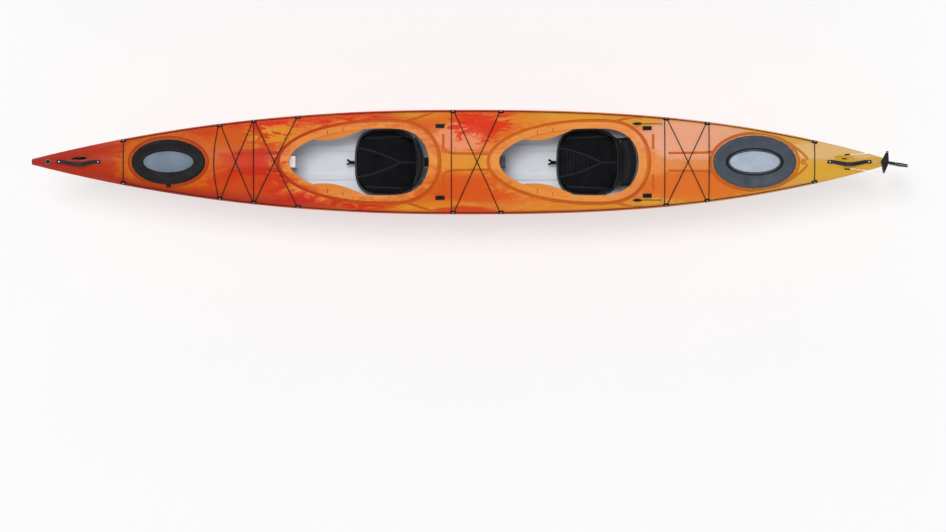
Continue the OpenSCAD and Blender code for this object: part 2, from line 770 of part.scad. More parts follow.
// The cushion: a crowned top with drawn-in sides, a raised front lip and sewn channels
cushion_gap = 4;
cushion_nx = 16;
cushion_ny = 20;
cushion_foot = 10;
foot_shares = [0.86, 0.72];
channel_width = 9;
channel_spread = 92;
channel_join = 0.72;
side_channels = [150, 168];
cross_channel = 0.28;
lip_rise = 7;
lip_share = 0.06;
corner_squeeze = 0.16;
edge_squeeze = 0.1;

function groove(d) = channel_depth * exp(-pow(d / channel_width, 2));
// Depth of the channels at a place on the cushion: two that run aft and meet, and two along the sides
function channels(s, y) = let (
    v = channel_spread * (1 - pow(min(1, s / channel_join), 1.6)))
    max(groove(abs(y) - v), groove(abs(y) - mix(side_channels[0], side_channels[1], s)),
        s > lip_share && s < channel_join && abs(y) < v ? groove((s - cross_channel) * seat_length) : 0);
function cushion_top(s, t, y) = let (
    edge = max(abs(2 * s - 1), abs(t)),
    drawn = pow(edge, 8))
    pan_height + cushion_rise * (1 - drawn) - channels(s, y) * (1 - drawn)
        + lip_rise * exp(-pow(s / lip_share - 1, 2)) * (1 - drawn);
function cushion_point(i, j) = let (
    s = i / cushion_nx,
    t = 2 * j / cushion_ny - 1,
    u = 2 * s - 1,
    inner = rim_roll + pan_wall + cushion_gap,
    squeeze = pow(abs(u * t), 4) * corner_squeeze,
    y = t * (seat_width / 2 - inner) * (1 - squeeze - edge_squeeze * pow(abs(u), 6)))
    [seat_length / 2 + u * (seat_length / 2 - inner) * (1 - squeeze - edge_squeeze * pow(abs(t), 6)), y,
        cushion_top(s, t, y)];

module cushion(x) {
    w = cushion_ny + 1;
    top = [for (i = [0:cushion_nx], j = [0:cushion_ny]) cushion_point(i, j)];
    rim = concat(
        [for (j = [0:cushion_ny - 1]) j], [for (i = [0:cushion_nx - 1]) i * w + cushion_ny],
        [for (j = [cushion_ny:-1:1]) cushion_nx * w + j], [for (i = [cushion_nx:-1:1]) i * w]);
    n = len(rim);
    m = len(top);
    middle = [seat_length / 2, 0, cushion_foot];
    foot = [for (k = rim) let (p = top[k])
        [mix(middle[0], p[0], foot_shares[0]), foot_shares[1] * p[1], cushion_foot]];
    faces = concat(
        [for (i = [0:cushion_nx - 1], j = [0:cushion_ny - 1]) let (a = i * w + j)
            each [[a, a + w + 1, a + w], [a, a + 1, a + w + 1]]],
        [for (k = [0:n - 1]) let (l = (k + 1) % n)
            each [[rim[k], m + l, rim[l]], [rim[k], m + k, m + l]]],
        [for (k = [0:n - 1]) [m + n, m + (k + 1) % n, m + k]]);
    seat_place(x) polyhedron(points = concat(top, foot, [middle]), faces = faces, convexity = 6);
}

// Backrest: a curved shell on two knuckles, with a crowned pad in front of it

function hinge_z() = track_top + seat_gap + hinge_height;

module backrest_place(x, lean) {
    translate([x + hinge_x, 0, hinge_z()]) rotate([0, lean, 0]) children();
}

shell_back = 12;
arc_x = shell_back - backrest_radius - backrest_shell;

module backrest(x, lean) {
    backrest_place(x, lean) {
        translate([arc_x, 0, backrest_clear]) rotate([0, 0, -backrest_wrap])
            rotate_extrude(angle = 2 * backrest_wrap, $fn = 96)
                translate([backrest_radius, 0]) square([backrest_shell, backrest_height - backrest_clear]);
        both_sides() knuckle();
    }
}

module knuckle() {
    difference() {
        translate([0, knuckle_y, 0]) rotate([90, 0, 0])
            linear_extrude(height = knuckle_thick, center = true) {
                circle(r = hinge_boss - 1, $fn = round_fn);
                translate([stem_x, 0]) square([stem_thick, backrest_clear + stem_lap]);
            }
        rotate([90, 0, 0]) cylinder(r = hinge_rod + bore_gap, h = cut_height, center = true, $fn = round_fn);
    }
}

// The pad: a grid bent to the shell's curve, thickest between its channels
pad_na = 14;
pad_nz = 8;
pad_margin = 1.5;
pad_edge = 6;
pad_low = 2;
pad_high = 4;
pad_channels = [0.42, -0.25];
pad_channel_widths = [0.09, 0.12];
function pad_thickness(s, t) = let (
    edge = max(abs(s), abs(t)),
    drawn = pow(edge, 6))
    pad_edge + (backrest_pad - pad_edge) * (1 - drawn) - channel_depth * (1 - drawn)
        * max(exp(-pow((abs(s) - pad_channels[0]) / pad_channel_widths[0], 2)),
            exp(-pow((t - pad_channels[1]) / pad_channel_widths[1], 2)));
function pad_place(s, t, depth) = let (
    a = s * (backrest_wrap - pad_margin),
    r = backrest_radius - slide_gap - depth,
    z = mix(backrest_clear + pad_low, backrest_height + pad_high, (t + 1) / 2))
    [arc_x + r * cos(a), r * sin(a), z];

module pad(x, lean) {
    w = pad_nz + 1;
    m = (pad_na + 1) * w;
    share_of = [for (i = [0:pad_na], j = [0:pad_nz]) [2 * i / pad_na - 1, 2 * j / pad_nz - 1]];
    rim = concat(
        [for (j = [0:pad_nz - 1]) j], [for (i = [0:pad_na - 1]) i * w + pad_nz],
        [for (j = [pad_nz:-1:1]) pad_na * w + j], [for (i = [pad_na:-1:1]) i * w]);
    faces = concat(
        [for (i = [0:pad_na - 1], j = [0:pad_nz - 1]) let (a = i * w + j)
            each [[a, a + w + 1, a + 1], [a, a + w, a + w + 1],
                [m + a, m + a + 1, m + a + w + 1], [m + a, m + a + w + 1, m + a + w]]],
        [for (k = [0:len(rim) - 1]) let (l = (k + 1) % len(rim))
            each [[rim[k], rim[l], m + rim[l]], [rim[k], m + rim[l], m + rim[k]]]]);
    backrest_place(x, lean) polyhedron(
        points = concat([for (q = share_of) pad_place(q[0], q[1], pad_thickness(q[0], q[1]))],
            [for (q = share_of) pad_place(q[0], q[1], 0)]),
        faces = faces, convexity = 6);
}

// A webbing tongue with two tails at the front of a seat
pull_length = 22;
pull_width = 20;
tail_length = 34;
tail_width = 12;
tail_lap = 2;
tail_turns = [-32, 24];

module seat_pull(x) {
    seat_place(x) translate([-seat_gap, 0, pan_height - rim_band]) {
        translate([-pull_length, -pull_width / 2, 0]) cube([pull_length, pull_width, rim_band]);
        for (turn = tail_turns) translate([tail_lap - pull_length, 0, 0]) rotate([0, 0, turn])
            translate([-tail_length, -tail_width / 2, 0]) cube([tail_length, tail_width, rim_band]);
    }
}

module front_seat_pan() { color(black) seat_pan(front_seat_x); }
module front_seat_cushion() { color(black) cushion(front_seat_x); }
module front_backrest_shell() { color(black) backrest(front_seat_x, front_recline); }
module front_backrest_pad() { color(black) pad(front_seat_x, front_recline); }
module rear_seat_pan() { color(black) seat_pan(rear_seat_x); }
module rear_seat_cushion() { color(black) cushion(rear_seat_x); }
module hinge_rods() { color(steel) for (x = [front_seat_x, rear_seat_x]) hinge_bar(x); }
module rear_backrest_shell() { color(black) backrest(rear_seat_x, rear_recline); }
module rear_backrest_pad() { color(black) pad(rear_seat_x, rear_recline); }
module seat_pulls() { color(black) for (x = [front_seat_x, rear_seat_x]) seat_pull(x); }

// Foot braces. A rail's own frame has its x along the rail, its y outward to the hull and its z up the side.

rail_height = 28;
rail_depth = 16;
rail_standoff = 2;
groove_height = 14;
groove_depth = 10;
flange_height = 40;
flange_thick = 4;
slider_length = 330;
carriage_length = 50;
carriage_height = 50;
carriage_thick = 12;
carriage_lip = 4;
foot_half = 4;
foot_below = 0.4;
tread_count = 5;
tread_half = 3;
tread_rise = 5;
tread_share = 0.44;
tread_inset = 6;

function rail_end_y(x, s) = hull_y(x + s * bolt_spacing / 2, rail_z, wall);
function rail_yaw(x) = atan2(rail_end_y(x, 1) - rail_end_y(x, -1), bolt_spacing);
function rail_flare(x) = atan2(hull_y(x, rail_z + 10, wall) - hull_y(x, rail_z - 10, wall), 20);

module rail_frame(x) {
    translate([x, (rail_end_y(x, 1) + rail_end_y(x, -1)) / 2, rail_z]) rotate([0, 0, rail_yaw(x)])
        rotate([-rail_flare(x), 0, 0]) children();
}

// A box between two corners
module block(a, b) {
    translate(a) cube(b - a);
}

module rail_channel() {
    l = rail_length / 2;
    h = rail_height / 2;
    back = -rail_standoff;
    face = back - rail_depth;
    difference() {
        block([-l, face, -h], [l, back, h]);
        block([-l - 1, face - 1, -groove_height / 2], [l + 1, face + groove_depth, groove_height / 2]);
        for (s = [-1, 1]) translate([s * bolt_spacing / 2, back - rail_depth, 0]) rotate([-90, 0, 0])
            cylinder(r = bolt_radius, h = rail_depth + 1, $fn = round_fn);
    }
}

// The bar that a foot plate's carriage grips: a tongue in the channel and a flange over its face
module rail_bar(gap) {
    l = slider_length / 2;
    face = -rail_standoff - rail_depth;
    tongue = groove_height / 2 - slide_gap;
    block([-l, face - gap, -tongue], [l, face + groove_depth - 2 * slide_gap, tongue]);
    block([-l, face - gap - flange_thick, -flange_height / 2], [l, face - gap, flange_height / 2]);
}

module pedal() {
    l = carriage_length / 2;
    h = carriage_height / 2;
    face = -rail_standoff - rail_depth - slide_gap;
    outer = face - flange_thick - slide_gap;
    lip_y = face + slide_gap;
    inner_z = flange_height / 2 + slide_gap;
    lip_z = rail_height / 2 + slide_gap;
    block([-l, outer - carriage_thick, -h], [l, outer, h]);
    for (s = [0, 1]) mirror([0, 0, s]) {
        block([-l, outer, inner_z], [l, lip_y + carriage_lip, h]);
        block([-l, lip_y, lip_z], [l, lip_y + carriage_lip, inner_z]);
    }
    plate_y = outer - carriage_thick;
    low = -foot_below * foot_height;
    block([-foot_half, plate_y - foot_reach, low], [foot_half, plate_y, low + foot_height]);
    for (k = [0:tread_count - 1])
        let (z = low + foot_height * mix(0.5 - tread_share, 0.5 + tread_share, k / (tread_count - 1)))
            block([foot_half, plate_y - foot_reach + tread_inset, z - tread_half],
                [foot_half + tread_rise, plate_y - tread_inset, z + tread_half]);
}

module rail_node(x, side, with_bar) {
    side_of(side) rail_frame(x) {
        rail_channel();
        if (with_bar) fixed_bar();
    }
}

// A bar pressed into its channel, for the rails that don't slide
module fixed_bar() {
    l = slider_length / 2;
    face = -rail_standoff - rail_depth;
    front = face - slide_gap;
    block([-l, front, -groove_height / 2], [l, face + groove_depth, groove_height / 2]);
    block([-l, front - flange_thick, -flange_height / 2], [l, front, flange_height / 2]);
}

module front_rail_port() { color(black) rail_node(front_rail_x, -1, true); }
module front_rail_starboard() { color(black) rail_node(front_rail_x, 1, true); }
module rear_rail_port() { color(black) rail_node(rear_rail_x, -1, false); }
module rear_rail_starboard() { color(black) rail_node(rear_rail_x, 1, false); }
module slider_port() { color(steel) side_of(-1) rail_frame(rear_rail_x) rail_bar(slide_gap); }
module slider_starboard() { color(steel) side_of(1) rail_frame(rear_rail_x) rail_bar(slide_gap); }
module front_pedal_port() { color(black) side_of(-1) rail_frame(front_rail_x) pedal(); }
module front_pedal_starboard() { color(black) side_of(1) rail_frame(front_rail_x) pedal(); }
module rear_pedal_port() { color(black) side_of(-1) rail_frame(rear_rail_x) pedal(); }
module rear_pedal_starboard() { color(black) side_of(1) rail_frame(rear_rail_x) pedal(); }

bolt_head_height = 4;

module rail_bolts() {
    outside = wall * 1.25 + bolt_head_height / 2;
    inside = rail_standoff + rail_depth - groove_depth - seat_gap;
    color(steel) for (x = [front_rail_x, rear_rail_x]) both_sides() rail_frame(x) for (s = [-1, 1])
        translate([s * bolt_spacing / 2, 0, 0]) rotate([-90, 0, 0]) {
            translate([0, 0, -inside]) cylinder(r = bolt_radius, h = inside + outside, $fn = round_fn);
            translate([0, 0, outside]) cylinder(r = bolt_head, h = bolt_head_height, $fn = round_fn);
        }
}

// Deck hardware

// Gunwale fittings along each side: how far each lies ahead of or behind the hatch, cockpit or handle by it
end_line_ahead = 51.5;
fore_cord_behind = 88.5;
knee_cord_ahead = 224;
knee_cord_behind = 54;
back_cord_behind = 152;
middle_cord_behind = 13;
aft_cord_behind = 174;
hatch_cord_ahead = 34;
handle_line_ahead = 96;
fitting_places = [
    bow_hatch_x - bow_hatch_length / 2 - end_line_ahead,
    bow_hatch_x + bow_hatch_length / 2 + fore_cord_behind,
    front_cockpit_x - knee_cord_ahead,
    front_cockpit_x + knee_cord_behind,
    front_cockpit_end + back_cord_behind,
    rear_cockpit_x + middle_cord_behind,
    rear_cockpit_end + aft_cord_behind,
    stern_hatch_x - stern_hatch_length / 2 - hatch_cord_ahead,
    stern_handle_x - handle_line_ahead];
fitting_up = 33;
line_up = 28;
line_lift = 4.5;
line_room = 0.6;
screw_radius = 4.5;
screw_up = 4;
screw_height = 2;

function bevel_length(x) = norm([bevel_in(x), bevel_up(x)]);
// A point on the starboard bevel, a distance up from the gunwale edge and off the surface
function bevel_point(x, up, lift) = let (
    t = up / bevel_length(x),
    n = unit([bevel_up(x), bevel_in(x)]))
    [x, half_breadth(x) - t * bevel_in(x) + lift * n[0], gunwale_z(x) + t * bevel_up(x) + lift * n[1]];

module on_bevel(x, up) {
    yaw = atan((half_breadth(x + 5) - half_breadth(x - 5)) / 10);
    pitch = atan((gunwale_z(x + 5) - gunwale_z(x - 5)) / 10);
    tilt = atan2(bevel_up(x), bevel_in(x));
    translate(bevel_point(x, up, 0)) rotate([-tilt, -pitch, yaw]) translate([0, 0, seat_gap]) children();
}

module fitting() {
    r = fitting_width / 2;
    difference() {
        union() {
            for (s = [-1, 1]) translate([s * (fitting_length / 2 - r), 0, 0])
                cylinder(r = r, h = fitting_height, $fn = round_fn);
            translate([r - fitting_length / 2, -r, 0]) cube([fitting_length - 2 * r, 2 * r, fitting_height]);
        }
        translate([0, fitting_up - line_up, line_lift - seat_gap]) rotate([0, 90, 0])
            cylinder(r = line_radius + line_room, h = 2 * fitting_length, center = true, $fn = round_fn);
    }
}

module gunwale_fittings() {
    color(black) both_sides() for (x = fitting_places) on_bevel(x, fitting_up) fitting();
}

line_steps = 4;
function between(list, steps) = [for (i = [0:len(list) - 2], k = [0:steps - 1])
    mix(list[i], list[i + 1], k / steps)];
line_places = concat(between(fitting_places, line_steps), [fitting_places[len(fitting_places) - 1]]);

module perimeter_line(side) {
    color(black) side_of(side) cord([for (x = line_places) bevel_point(x, line_up, line_lift)], line_radius);
}

module perimeter_line_port() { perimeter_line(-1); }
module perimeter_line_starboard() { perimeter_line(1); }

cord_lift = 1.5;
cord_start = fitting_up + fitting_width / 2 + line_room;

// A deck cord from one gunwale fitting to another across the boat, bowed or arched over its twin: it leaves
// the bevel at the fitting, turns over the shoulder and lies over the bends of the deck's section
function cord_path(xa, sa, xb, sb, bow, arch) = let (
    lift = cord_radius + cord_lift,
    a = shoulder_y(xa),
    b = shoulder_y(xb),
    middle = a / (a + b),
    shares = concat(deck_shares, [0], [for (i = [len(deck_shares) - 1:-1:0]) -deck_shares[i]]))
    concat(
        [cord_end(xa, sa)],
        [for (f = shares) let (
            t = f > 0 ? middle * (1 - f) : mix(middle, 1, -f),
            x = mix(xa, xb, t) + bow * sin(180 * t),
            y = mix(sa * a, sb * b, t))
            [x, y + (abs(f) == 1 ? sign(y) * cord_lift : 0), deck_z(x, y) + lift + (f == 0 ? arch : 0)]],
        [cord_end(xb, sb)]);
function cord_end(x, side) = let (p = bevel_point(x, cord_start, cord_radius + cord_lift))
    [x, side * p[1], p[2]];

module cross_line(place, offset, bow = 0) {
    x = fitting_places[place] + offset;
    cord(cord_path(x, 1, x, -1, bow, 0), cord_radius);
}

// Two cords that cross over the centre line, one arched over the other
module crossed_cords(place, offset) {
    xa = fitting_places[place] + offset;
    xb = fitting_places[place + 1] - offset;
    cord(cord_path(xa, 1, xb, -1, 0, 0), cord_radius);
    cord(cord_path(xa, -1, xb, 1, 0, 2 * cord_radius + 1), cord_radius);
}

cord_spread = 10;

module fore_cords() {
    color(black) {
        cross_line(1, -cord_spread, -26);
        crossed_cords(1, cord_spread);
        cross_line(2, 0);
        crossed_cords(2, cord_spread);
    }
}

module middle_cords() {
    color(black) {
        cross_line(4, -cord_spread);
        crossed_cords(4, cord_spread);
    }
}

module aft_cords() {
    color(black) {
        cross_line(6, -cord_spread);
        crossed_cords(6, cord_spread);
        cross_line(7, cord_spread);
    }
}

module end_lines() {
    color(black) {
        cross_line(0, 0);
        cross_line(8, 0);
    }
}

// Carry handles: a strap that arches between two screws
handle_tab = 16;
handle_steps = 16;
handle_screw = 4;
handle_head = 10;
handle_head_height = 4;

function arch_z(x) = let (t = abs(x) / (handle_span / 2 - handle_tab))
    t >= 1 ? 0 : handle_rise * pow(cos(90 * t), 2);
handle_ends = handle_span / 2 + handle_tab;
handle_places = [for (k = [-handle_steps:handle_steps]) k / handle_steps * handle_ends];

module handle_frame(x) {
    on_deck(x + handle_span / 2, 0) children();
}

module handle(x) {
    under = [for (p = handle_places) [p, arch_z(p)]];
    over = [for (i = [len(under) - 1:-1:0]) under[i] + [0, handle_thick]];
    handle_frame(x) difference() {
        rotate([90, 0, 0]) linear_extrude(height = handle_width, center = true) polygon(concat(under, over));
        for (s = [-1, 1]) translate([s * handle_span / 2, 0, -1])
            cylinder(r = handle_screw, h = cut_height, $fn = round_fn);
    }
}

module bow_handle() { color(black) handle(bow_handle_x); }
module stern_handle() { color(black) handle(stern_handle_x); }

module deck_screws() {
    color(steel) both_sides() for (x = fitting_places) on_bevel(x, fitting_up)
        translate([0, -screw_up, fitting_height])
            cylinder(r = screw_radius, h = screw_height, $fn = round_fn);
    color(steel) for (x = [bow_handle_x, stern_handle_x]) handle_frame(x) for (s = [-1, 1])
        translate([s * handle_span / 2, 0, 0]) {
            cylinder(r = handle_screw - bore_gap, h = handle_thick, $fn = round_fn);
            translate([0, 0, handle_thick]) cylinder(r = handle_head, h = handle_head_height, $fn = round_fn);
        }
}

// An upright eye on a round base
eye_base = 17;
eye_base_height = 5;
eye_wall = 6;
eye_thick = 8;
eye_bed = 0.4;

module bow_eye() {
    color(black) on_deck(bow_eye_x, 0) translate([0, 0, eye_bed]) difference() {
        union() {
            cylinder(r = eye_base, h = eye_base_height, $fn = round_fn);
            translate([0, 0, eye_base_height + eye_radius]) rotate([90, 0, 0])
                cylinder(r = eye_radius + eye_wall, h = eye_thick, center = true, $fn = round_fn);
        }
        translate([0, 0, eye_base_height + eye_radius]) rotate([90, 0, 0])
            cylinder(r = eye_radius, h = cut_height, center = true, $fn = round_fn);
    }
}

anchor_size = [57, 26, 6];
anchor_slot = [30, 7];
front_anchor_behind = 70;
front_anchor_out = 226;
rear_anchor_behind = 54;
rear_anchor_out = 212;
front_anchor = [front_cockpit_end + front_anchor_behind, front_anchor_out];
rear_anchor = [rear_cockpit_end + rear_anchor_behind, rear_anchor_out];

module strap_anchors() {
    color(black) both_sides() for (p = [front_anchor, rear_anchor]) on_deck(p[0], p[1]) difference() {
        translate([-anchor_size[0] / 2, -anchor_size[1] / 2, 0]) cube(anchor_size);
        translate([-anchor_slot[0] / 2, -anchor_slot[1] / 2, -1])
            cube([anchor_slot[0], anchor_slot[1], cut_height]);
    }
}

cleat_ahead = 8;
cleat_out = 240;
cleat_place = [rear_cockpit_end - cleat_ahead, cleat_out];
cleat_arc = 62;
cleat_half_width = 8;
cleat_height = 12;
cleat_bed = 0.7;
stud_back = 152;
stud_radius = 7;
stud_height = 6;
plug_places = [[-1184, 202], [111, -253]];
plug_radius = 5;
plug_height = 3;
cleat_cord = 2;
cleat_cord_gap = 0.5;
cleat_cord_lift = 1;
cleat_cord_steps = 6;

module cleats() {
    color(black) both_sides() on_deck(cleat_place[0], cleat_place[1]) intersection_for (s = [-1, 1])
        translate([0, s * (cleat_arc - cleat_half_width), cleat_bed])
            cylinder(r = cleat_arc, h = cleat_height, $fn = 2 * round_fn);
}

module deck_studs() {
    color(grey) both_sides() on_deck(cleat_place[0] + stud_back, cleat_place[1])
        cylinder(r = stud_radius, h = stud_height, $fn = round_fn);
    color(grey) for (p = plug_places) on_deck(p[0], p[1])
        cylinder(r = plug_radius, h = plug_height, $fn = round_fn);
}

module cleat_cords() {
    from = cleat_place[0] + sqrt(pow(cleat_arc, 2) - pow(cleat_arc - cleat_half_width, 2)) + cleat_cord_gap;
    to = cleat_place[0] + stud_back - stud_radius - cleat_cord_gap;
    color(black) both_sides() cord([for (k = [0:cleat_cord_steps])
        let (x = mix(from, to, k / cleat_cord_steps))
        [x, cleat_place[1], deck_z(x, cleat_place[1]) + cleat_cord + cleat_cord_lift]], cleat_cord);
}

// Skeg

skeg_box_margin = 30;
skeg_box_low = 1;
skeg_box_front = skeg_x - skeg_box_margin;
skeg_box_length = skeg_length + 2 * skeg_box_margin;
skeg_hub = 16;

module skeg_box() {
    inner = skeg_thick + 2 * skeg_room;
    color(white) difference() {
        translate([skeg_box_front, -skeg_slot / 2, skeg_box_low])
            cube([skeg_box_length, skeg_slot, skeg_box_height]);
        translate([skeg_box_front + skeg_wall, -inner / 2, -1])
            cube([skeg_box_length - 2 * skeg_wall, inner, skeg_box_height - skeg_wall + skeg_box_low + 1]);
        translate([skeg_x, 0, skeg_z]) rotate([90, 0, 0])
            cylinder(r = skeg_pin_radius, h = cut_height, center = true, $fn = round_fn);
    }
}

module skeg_pin() {
    color(steel) translate([skeg_x, 0, skeg_z]) rotate([90, 0, 0])
        cylinder(r = skeg_pin_radius, h = skeg_slot, center = true, $fn = round_fn);
}

// The skeg's plate: a hub at its pivot, a straight leading edge and a rounded tip
module skeg() {
    tip = 26;
    toe = [skeg_length * 0.86, tip - skeg_depth];
    heel = [skeg_length - tip, 2 * tip - skeg_depth];
    color(black) translate([skeg_x, skeg_thick / 2, skeg_z]) rotate([90, 0, 0]) difference() {
        linear_extrude(height = skeg_thick) {
            circle(r = skeg_hub, $fn = round_fn);
            polygon([skeg_hub * [-0.5, -0.86], [skeg_length * 0.79, 2 - skeg_depth], toe, heel,
                heel + [tip, 0], [skeg_length, 2 - skeg_hub], [0, skeg_hub]]);
            for (p = [toe, heel]) translate(p) circle(r = tip, $fn = round_fn);
            polygon([toe + tip * [0.7, -0.7], heel + tip * [0.7, -0.7], heel, toe]);
        }
        translate([0, 0, -1]) cylinder(r = skeg_pin_radius + bore_gap, h = skeg_thick + 2, $fn = round_fn);
    }
}

// A strip that guards the keel under the stern
strip_half_width = 11;
strip_thick = 4;
strip_steps = 6;
strip_length = 268;
strip_to = half_length - stern_length - 12;
strip_from = strip_to - strip_length;

module keel_strip() {
    color(black) skin([for (k = [0:strip_steps])
        let (x = mix(strip_from, strip_to, k / strip_steps), z = keel_z(x) - seat_gap)
            [[x, strip_half_width, z], [x, strip_half_width, z - strip_thick],
             [x, -strip_half_width, z - strip_thick], [x, -strip_half_width, z]]]);
}

// Rudder. Its own frame has its origin on the pintle at the top of the socket, with its x aft.

socket_flange = 5;
socket_brim = 12;
socket_top = crown_z(pintle_x) + seat_gap + socket_flange;
socket_bottom = crown_z(pintle_x) - socket_depth;
yoke_z = socket_top + slide_gap;
yoke_thick = 9;
yoke_hub = 14;
yoke_hub_rise = 12;
yoke_nose = 18;
yoke_waist = [30, 12];
neck_from = 20;
neck_rise = 14;
arm_front = 4;
arm_back = 18;
arm_eye = 8;
arm_hole = 2.5;
head_radius = 38;
gap_half = blade_thick / 2 + blade_room;

module rudder_socket() {
    color(black) translate([pintle_x, 0, 0]) difference() {
        union() {
            translate([0, 0, socket_bottom])
                cylinder(r = pintle_radius + socket_wall, h = socket_top - socket_bottom, $fn = round_fn);
            translate([0, 0, socket_top - socket_flange])
                cylinder(r = pintle_radius + socket_brim, h = socket_flange, $fn = round_fn);
        }
        translate([0, 0, socket_bottom - 1])
            cylinder(r = pintle_radius + bore_gap, h = cut_height, $fn = round_fn);
    }
}

module rudder_place() {
    translate([pintle_x, 0, yoke_z]) rotate([0, 0, rudder_turn]) children();
}

// The yoke: a pintle, a plate with two tiller arms, and two cheeks that hold the blade
module rudder_yoke() {
    arm_middle = (arm_front + arm_back) / 2;
    neck_to = blade_back - head_radius - 4;
    color(black) rudder_place() difference() {
        union() {
            translate([0, 0, socket_bottom - socket_top])
                cylinder(r = pintle_radius, h = socket_top - socket_bottom + 2, $fn = round_fn);
            cylinder(r = yoke_hub, h = yoke_thick + yoke_hub_rise, $fn = round_fn);
            linear_extrude(height = yoke_thick) {
                polygon([[-yoke_nose, 0], [arm_front, arm_reach], [arm_back, arm_reach], yoke_waist,
                    [yoke_waist[0], -yoke_waist[1]], [arm_back, -arm_reach], [arm_front, -arm_reach]]);
                for (s = [-1, 1]) translate([arm_middle, s * arm_reach]) circle(r = arm_eye, $fn = round_fn);
            }
            block([neck_from, -gap_half - cheek_thick, 0],
                [neck_to, gap_half + cheek_thick, yoke_thick + neck_rise]);
            both_sides() translate([0, gap_half + cheek_thick, 0]) rotate([90, 0, 0])
                linear_extrude(height = cheek_thick) cheek();
        }
        translate([blade_back, 0, blade_up]) rotate([90, 0, 0])
            cylinder(r = blade_bolt_radius, h = cut_height, center = true, $fn = round_fn);
        for (s = [-1, 1]) translate([arm_middle, s * arm_reach, -1])
            cylinder(r = arm_hole, h = cut_height, $fn = round_fn);
    }
}

// A cheek's outline: a round head and a foot that tapers down in front of the blade
cheek_lead = 10;
cheek_heel = 16;
cheek_toe = 40;
cheek_drop = 78;
cheek_foot = 84;
cheek_waist = 40;
cheek_taper = 6;
module cheek() {
    front = blade_back - head_radius;
    back = blade_back + head_radius;
    translate([blade_back, blade_up]) circle(r = head_radius, $fn = 2 * round_fn);
    polygon([[front - cheek_lead, 0], [front + cheek_heel, -cheek_drop], [front + cheek_toe, -cheek_foot],
        [back - cheek_taper, -cheek_waist], [back, blade_up], [front, blade_up + cheek_taper],
        [front - cheek_lead, yoke_thick + neck_rise]]);
}

module blade_bolt() {
    half_width = gap_half + cheek_thick;
    color(steel) rudder_place() translate([blade_back, 0, blade_up]) rotate([90, 0, 0]) {
        cylinder(r = blade_bolt_radius, h = 2 * half_width, center = true, $fn = round_fn);
        for (s = [-1, 1]) translate([0, 0, s * (half_width + bolt_head_height / 2)])
            cylinder(r = blade_bolt_head, h = bolt_head_height, center = true, $fn = round_fn);
    }
}

// The blade's plate: a hub at its pivot, then a long foil that swells behind
blade_hub = 30;
blade_lead = 52;
blade_swell = 46;
blade_tip = 14;
blade_bolt_head = 9;

module rudder_blade() {
    b = blade_length;
    l = blade_lead;
    w = blade_swell;
    t = blade_tip;
    color(grey) rudder_place() translate([blade_back, blade_thick / 2, blade_up]) rotate([90, 0, 0])
        difference() {
            linear_extrude(height = blade_thick) {
                circle(r = blade_hub, $fn = 2 * round_fn);
                polygon([[-blade_hub, 0], [-0.73 * l, -0.22 * b], [-l, t - b], [-0.885 * l, 0.15 * t - b],
                    [-0.73 * l, -b], [0.17 * w, -b], [0.37 * w, 0.2 * t - b], [0.46 * w, 0.85 * t - b],
                    [0.72 * w, -0.72 * b], [0.91 * w, -0.56 * b], [w, -0.46 * b], [0.93 * w, -0.38 * b],
                    [0.74 * w, -0.3 * b], [0.48 * w, -0.2 * b], [blade_hub, 0]]);
            }
            translate([0, 0, -1])
                cylinder(r = blade_bolt_radius + bore_gap, h = blade_thick + 2, $fn = round_fn);
        }
}

// The two bare steering cables, from the deck to the tiller arms
cable_radius = 1.5;
cable_exit_in = 240;
cable_exit_out = 44;
cable_start = [half_length - cable_exit_in, cable_exit_out];
cable_stop = 3;
cable_steps = 5;
bushing_radius = 4;
bushing_length = 36;
uphaul_radius = 1.5;
uphaul_reach = 70;
uphaul_steps = 3;

function turned(p) = [pintle_x + p[0] * cos(rudder_turn) - p[1] * sin(rudder_turn),
    p[0] * sin(rudder_turn) + p[1] * cos(rudder_turn)];

// Start, on the deck, and end, at an arm's eye, of the cable on one side
function cable_from(s) = [cable_start[0], s * cable_start[1],
    deck_z(cable_start[0], cable_start[1]) + seat_gap + bushing_radius];
function cable_to(s) = let (tip = turned([cable_stop, s * arm_reach]))
    [tip[0] - 1, tip[1], yoke_z + yoke_thick / 2];

module rudder_cables() {
    color(steel) for (s = [-1, 1]) let (a = cable_from(s), b = cable_to(s))
        cord([for (k = [0:cable_steps]) mix(a, b, k / cable_steps)], cable_radius);
}

// How far a bend in the deck rises into a straight bushing that lies along it
function bend_rise(x, y, reach) = let (slope = (deck_z(x + 1, y) - deck_z(x - 1, y)) / 2)
    max([for (d = [-reach, 0, reach]) deck_z(x + d, y) - deck_z(x, y) - slope * d]);

// A short tube where each cable leaves the deck
module cable_bushings() {
    tube = bushing_length - 3 * deck_gap;
    rise = bend_rise(cable_start[0] - bushing_length / 2, cable_start[1], tube / 2);
    color(black) for (s = [-1, 1]) let (d = cable_to(s) - cable_from(s))
        on_deck(cable_start[0] - bushing_length / 2, s * cable_start[1]) rotate([0, 0, atan2(d[1], d[0])])
            translate([0, 0, bushing_radius + rise]) rotate([0, 90, 0])
                cylinder(r = bushing_radius, h = tube, center = true, $fn = round_fn);
}

// The line that lifts the blade, from the deck to the yoke
module uphaul_line() {
    x = pintle_x - uphaul_reach;
    a = [x, 0, crown_z(x) + uphaul_radius + seat_gap];
    b = [pintle_x - yoke_nose - 1, 0, yoke_z + yoke_thick / 2];
    color(white) cord([for (k = [0:uphaul_steps]) mix(a, b, k / uphaul_steps)], uphaul_radius, 6);
}

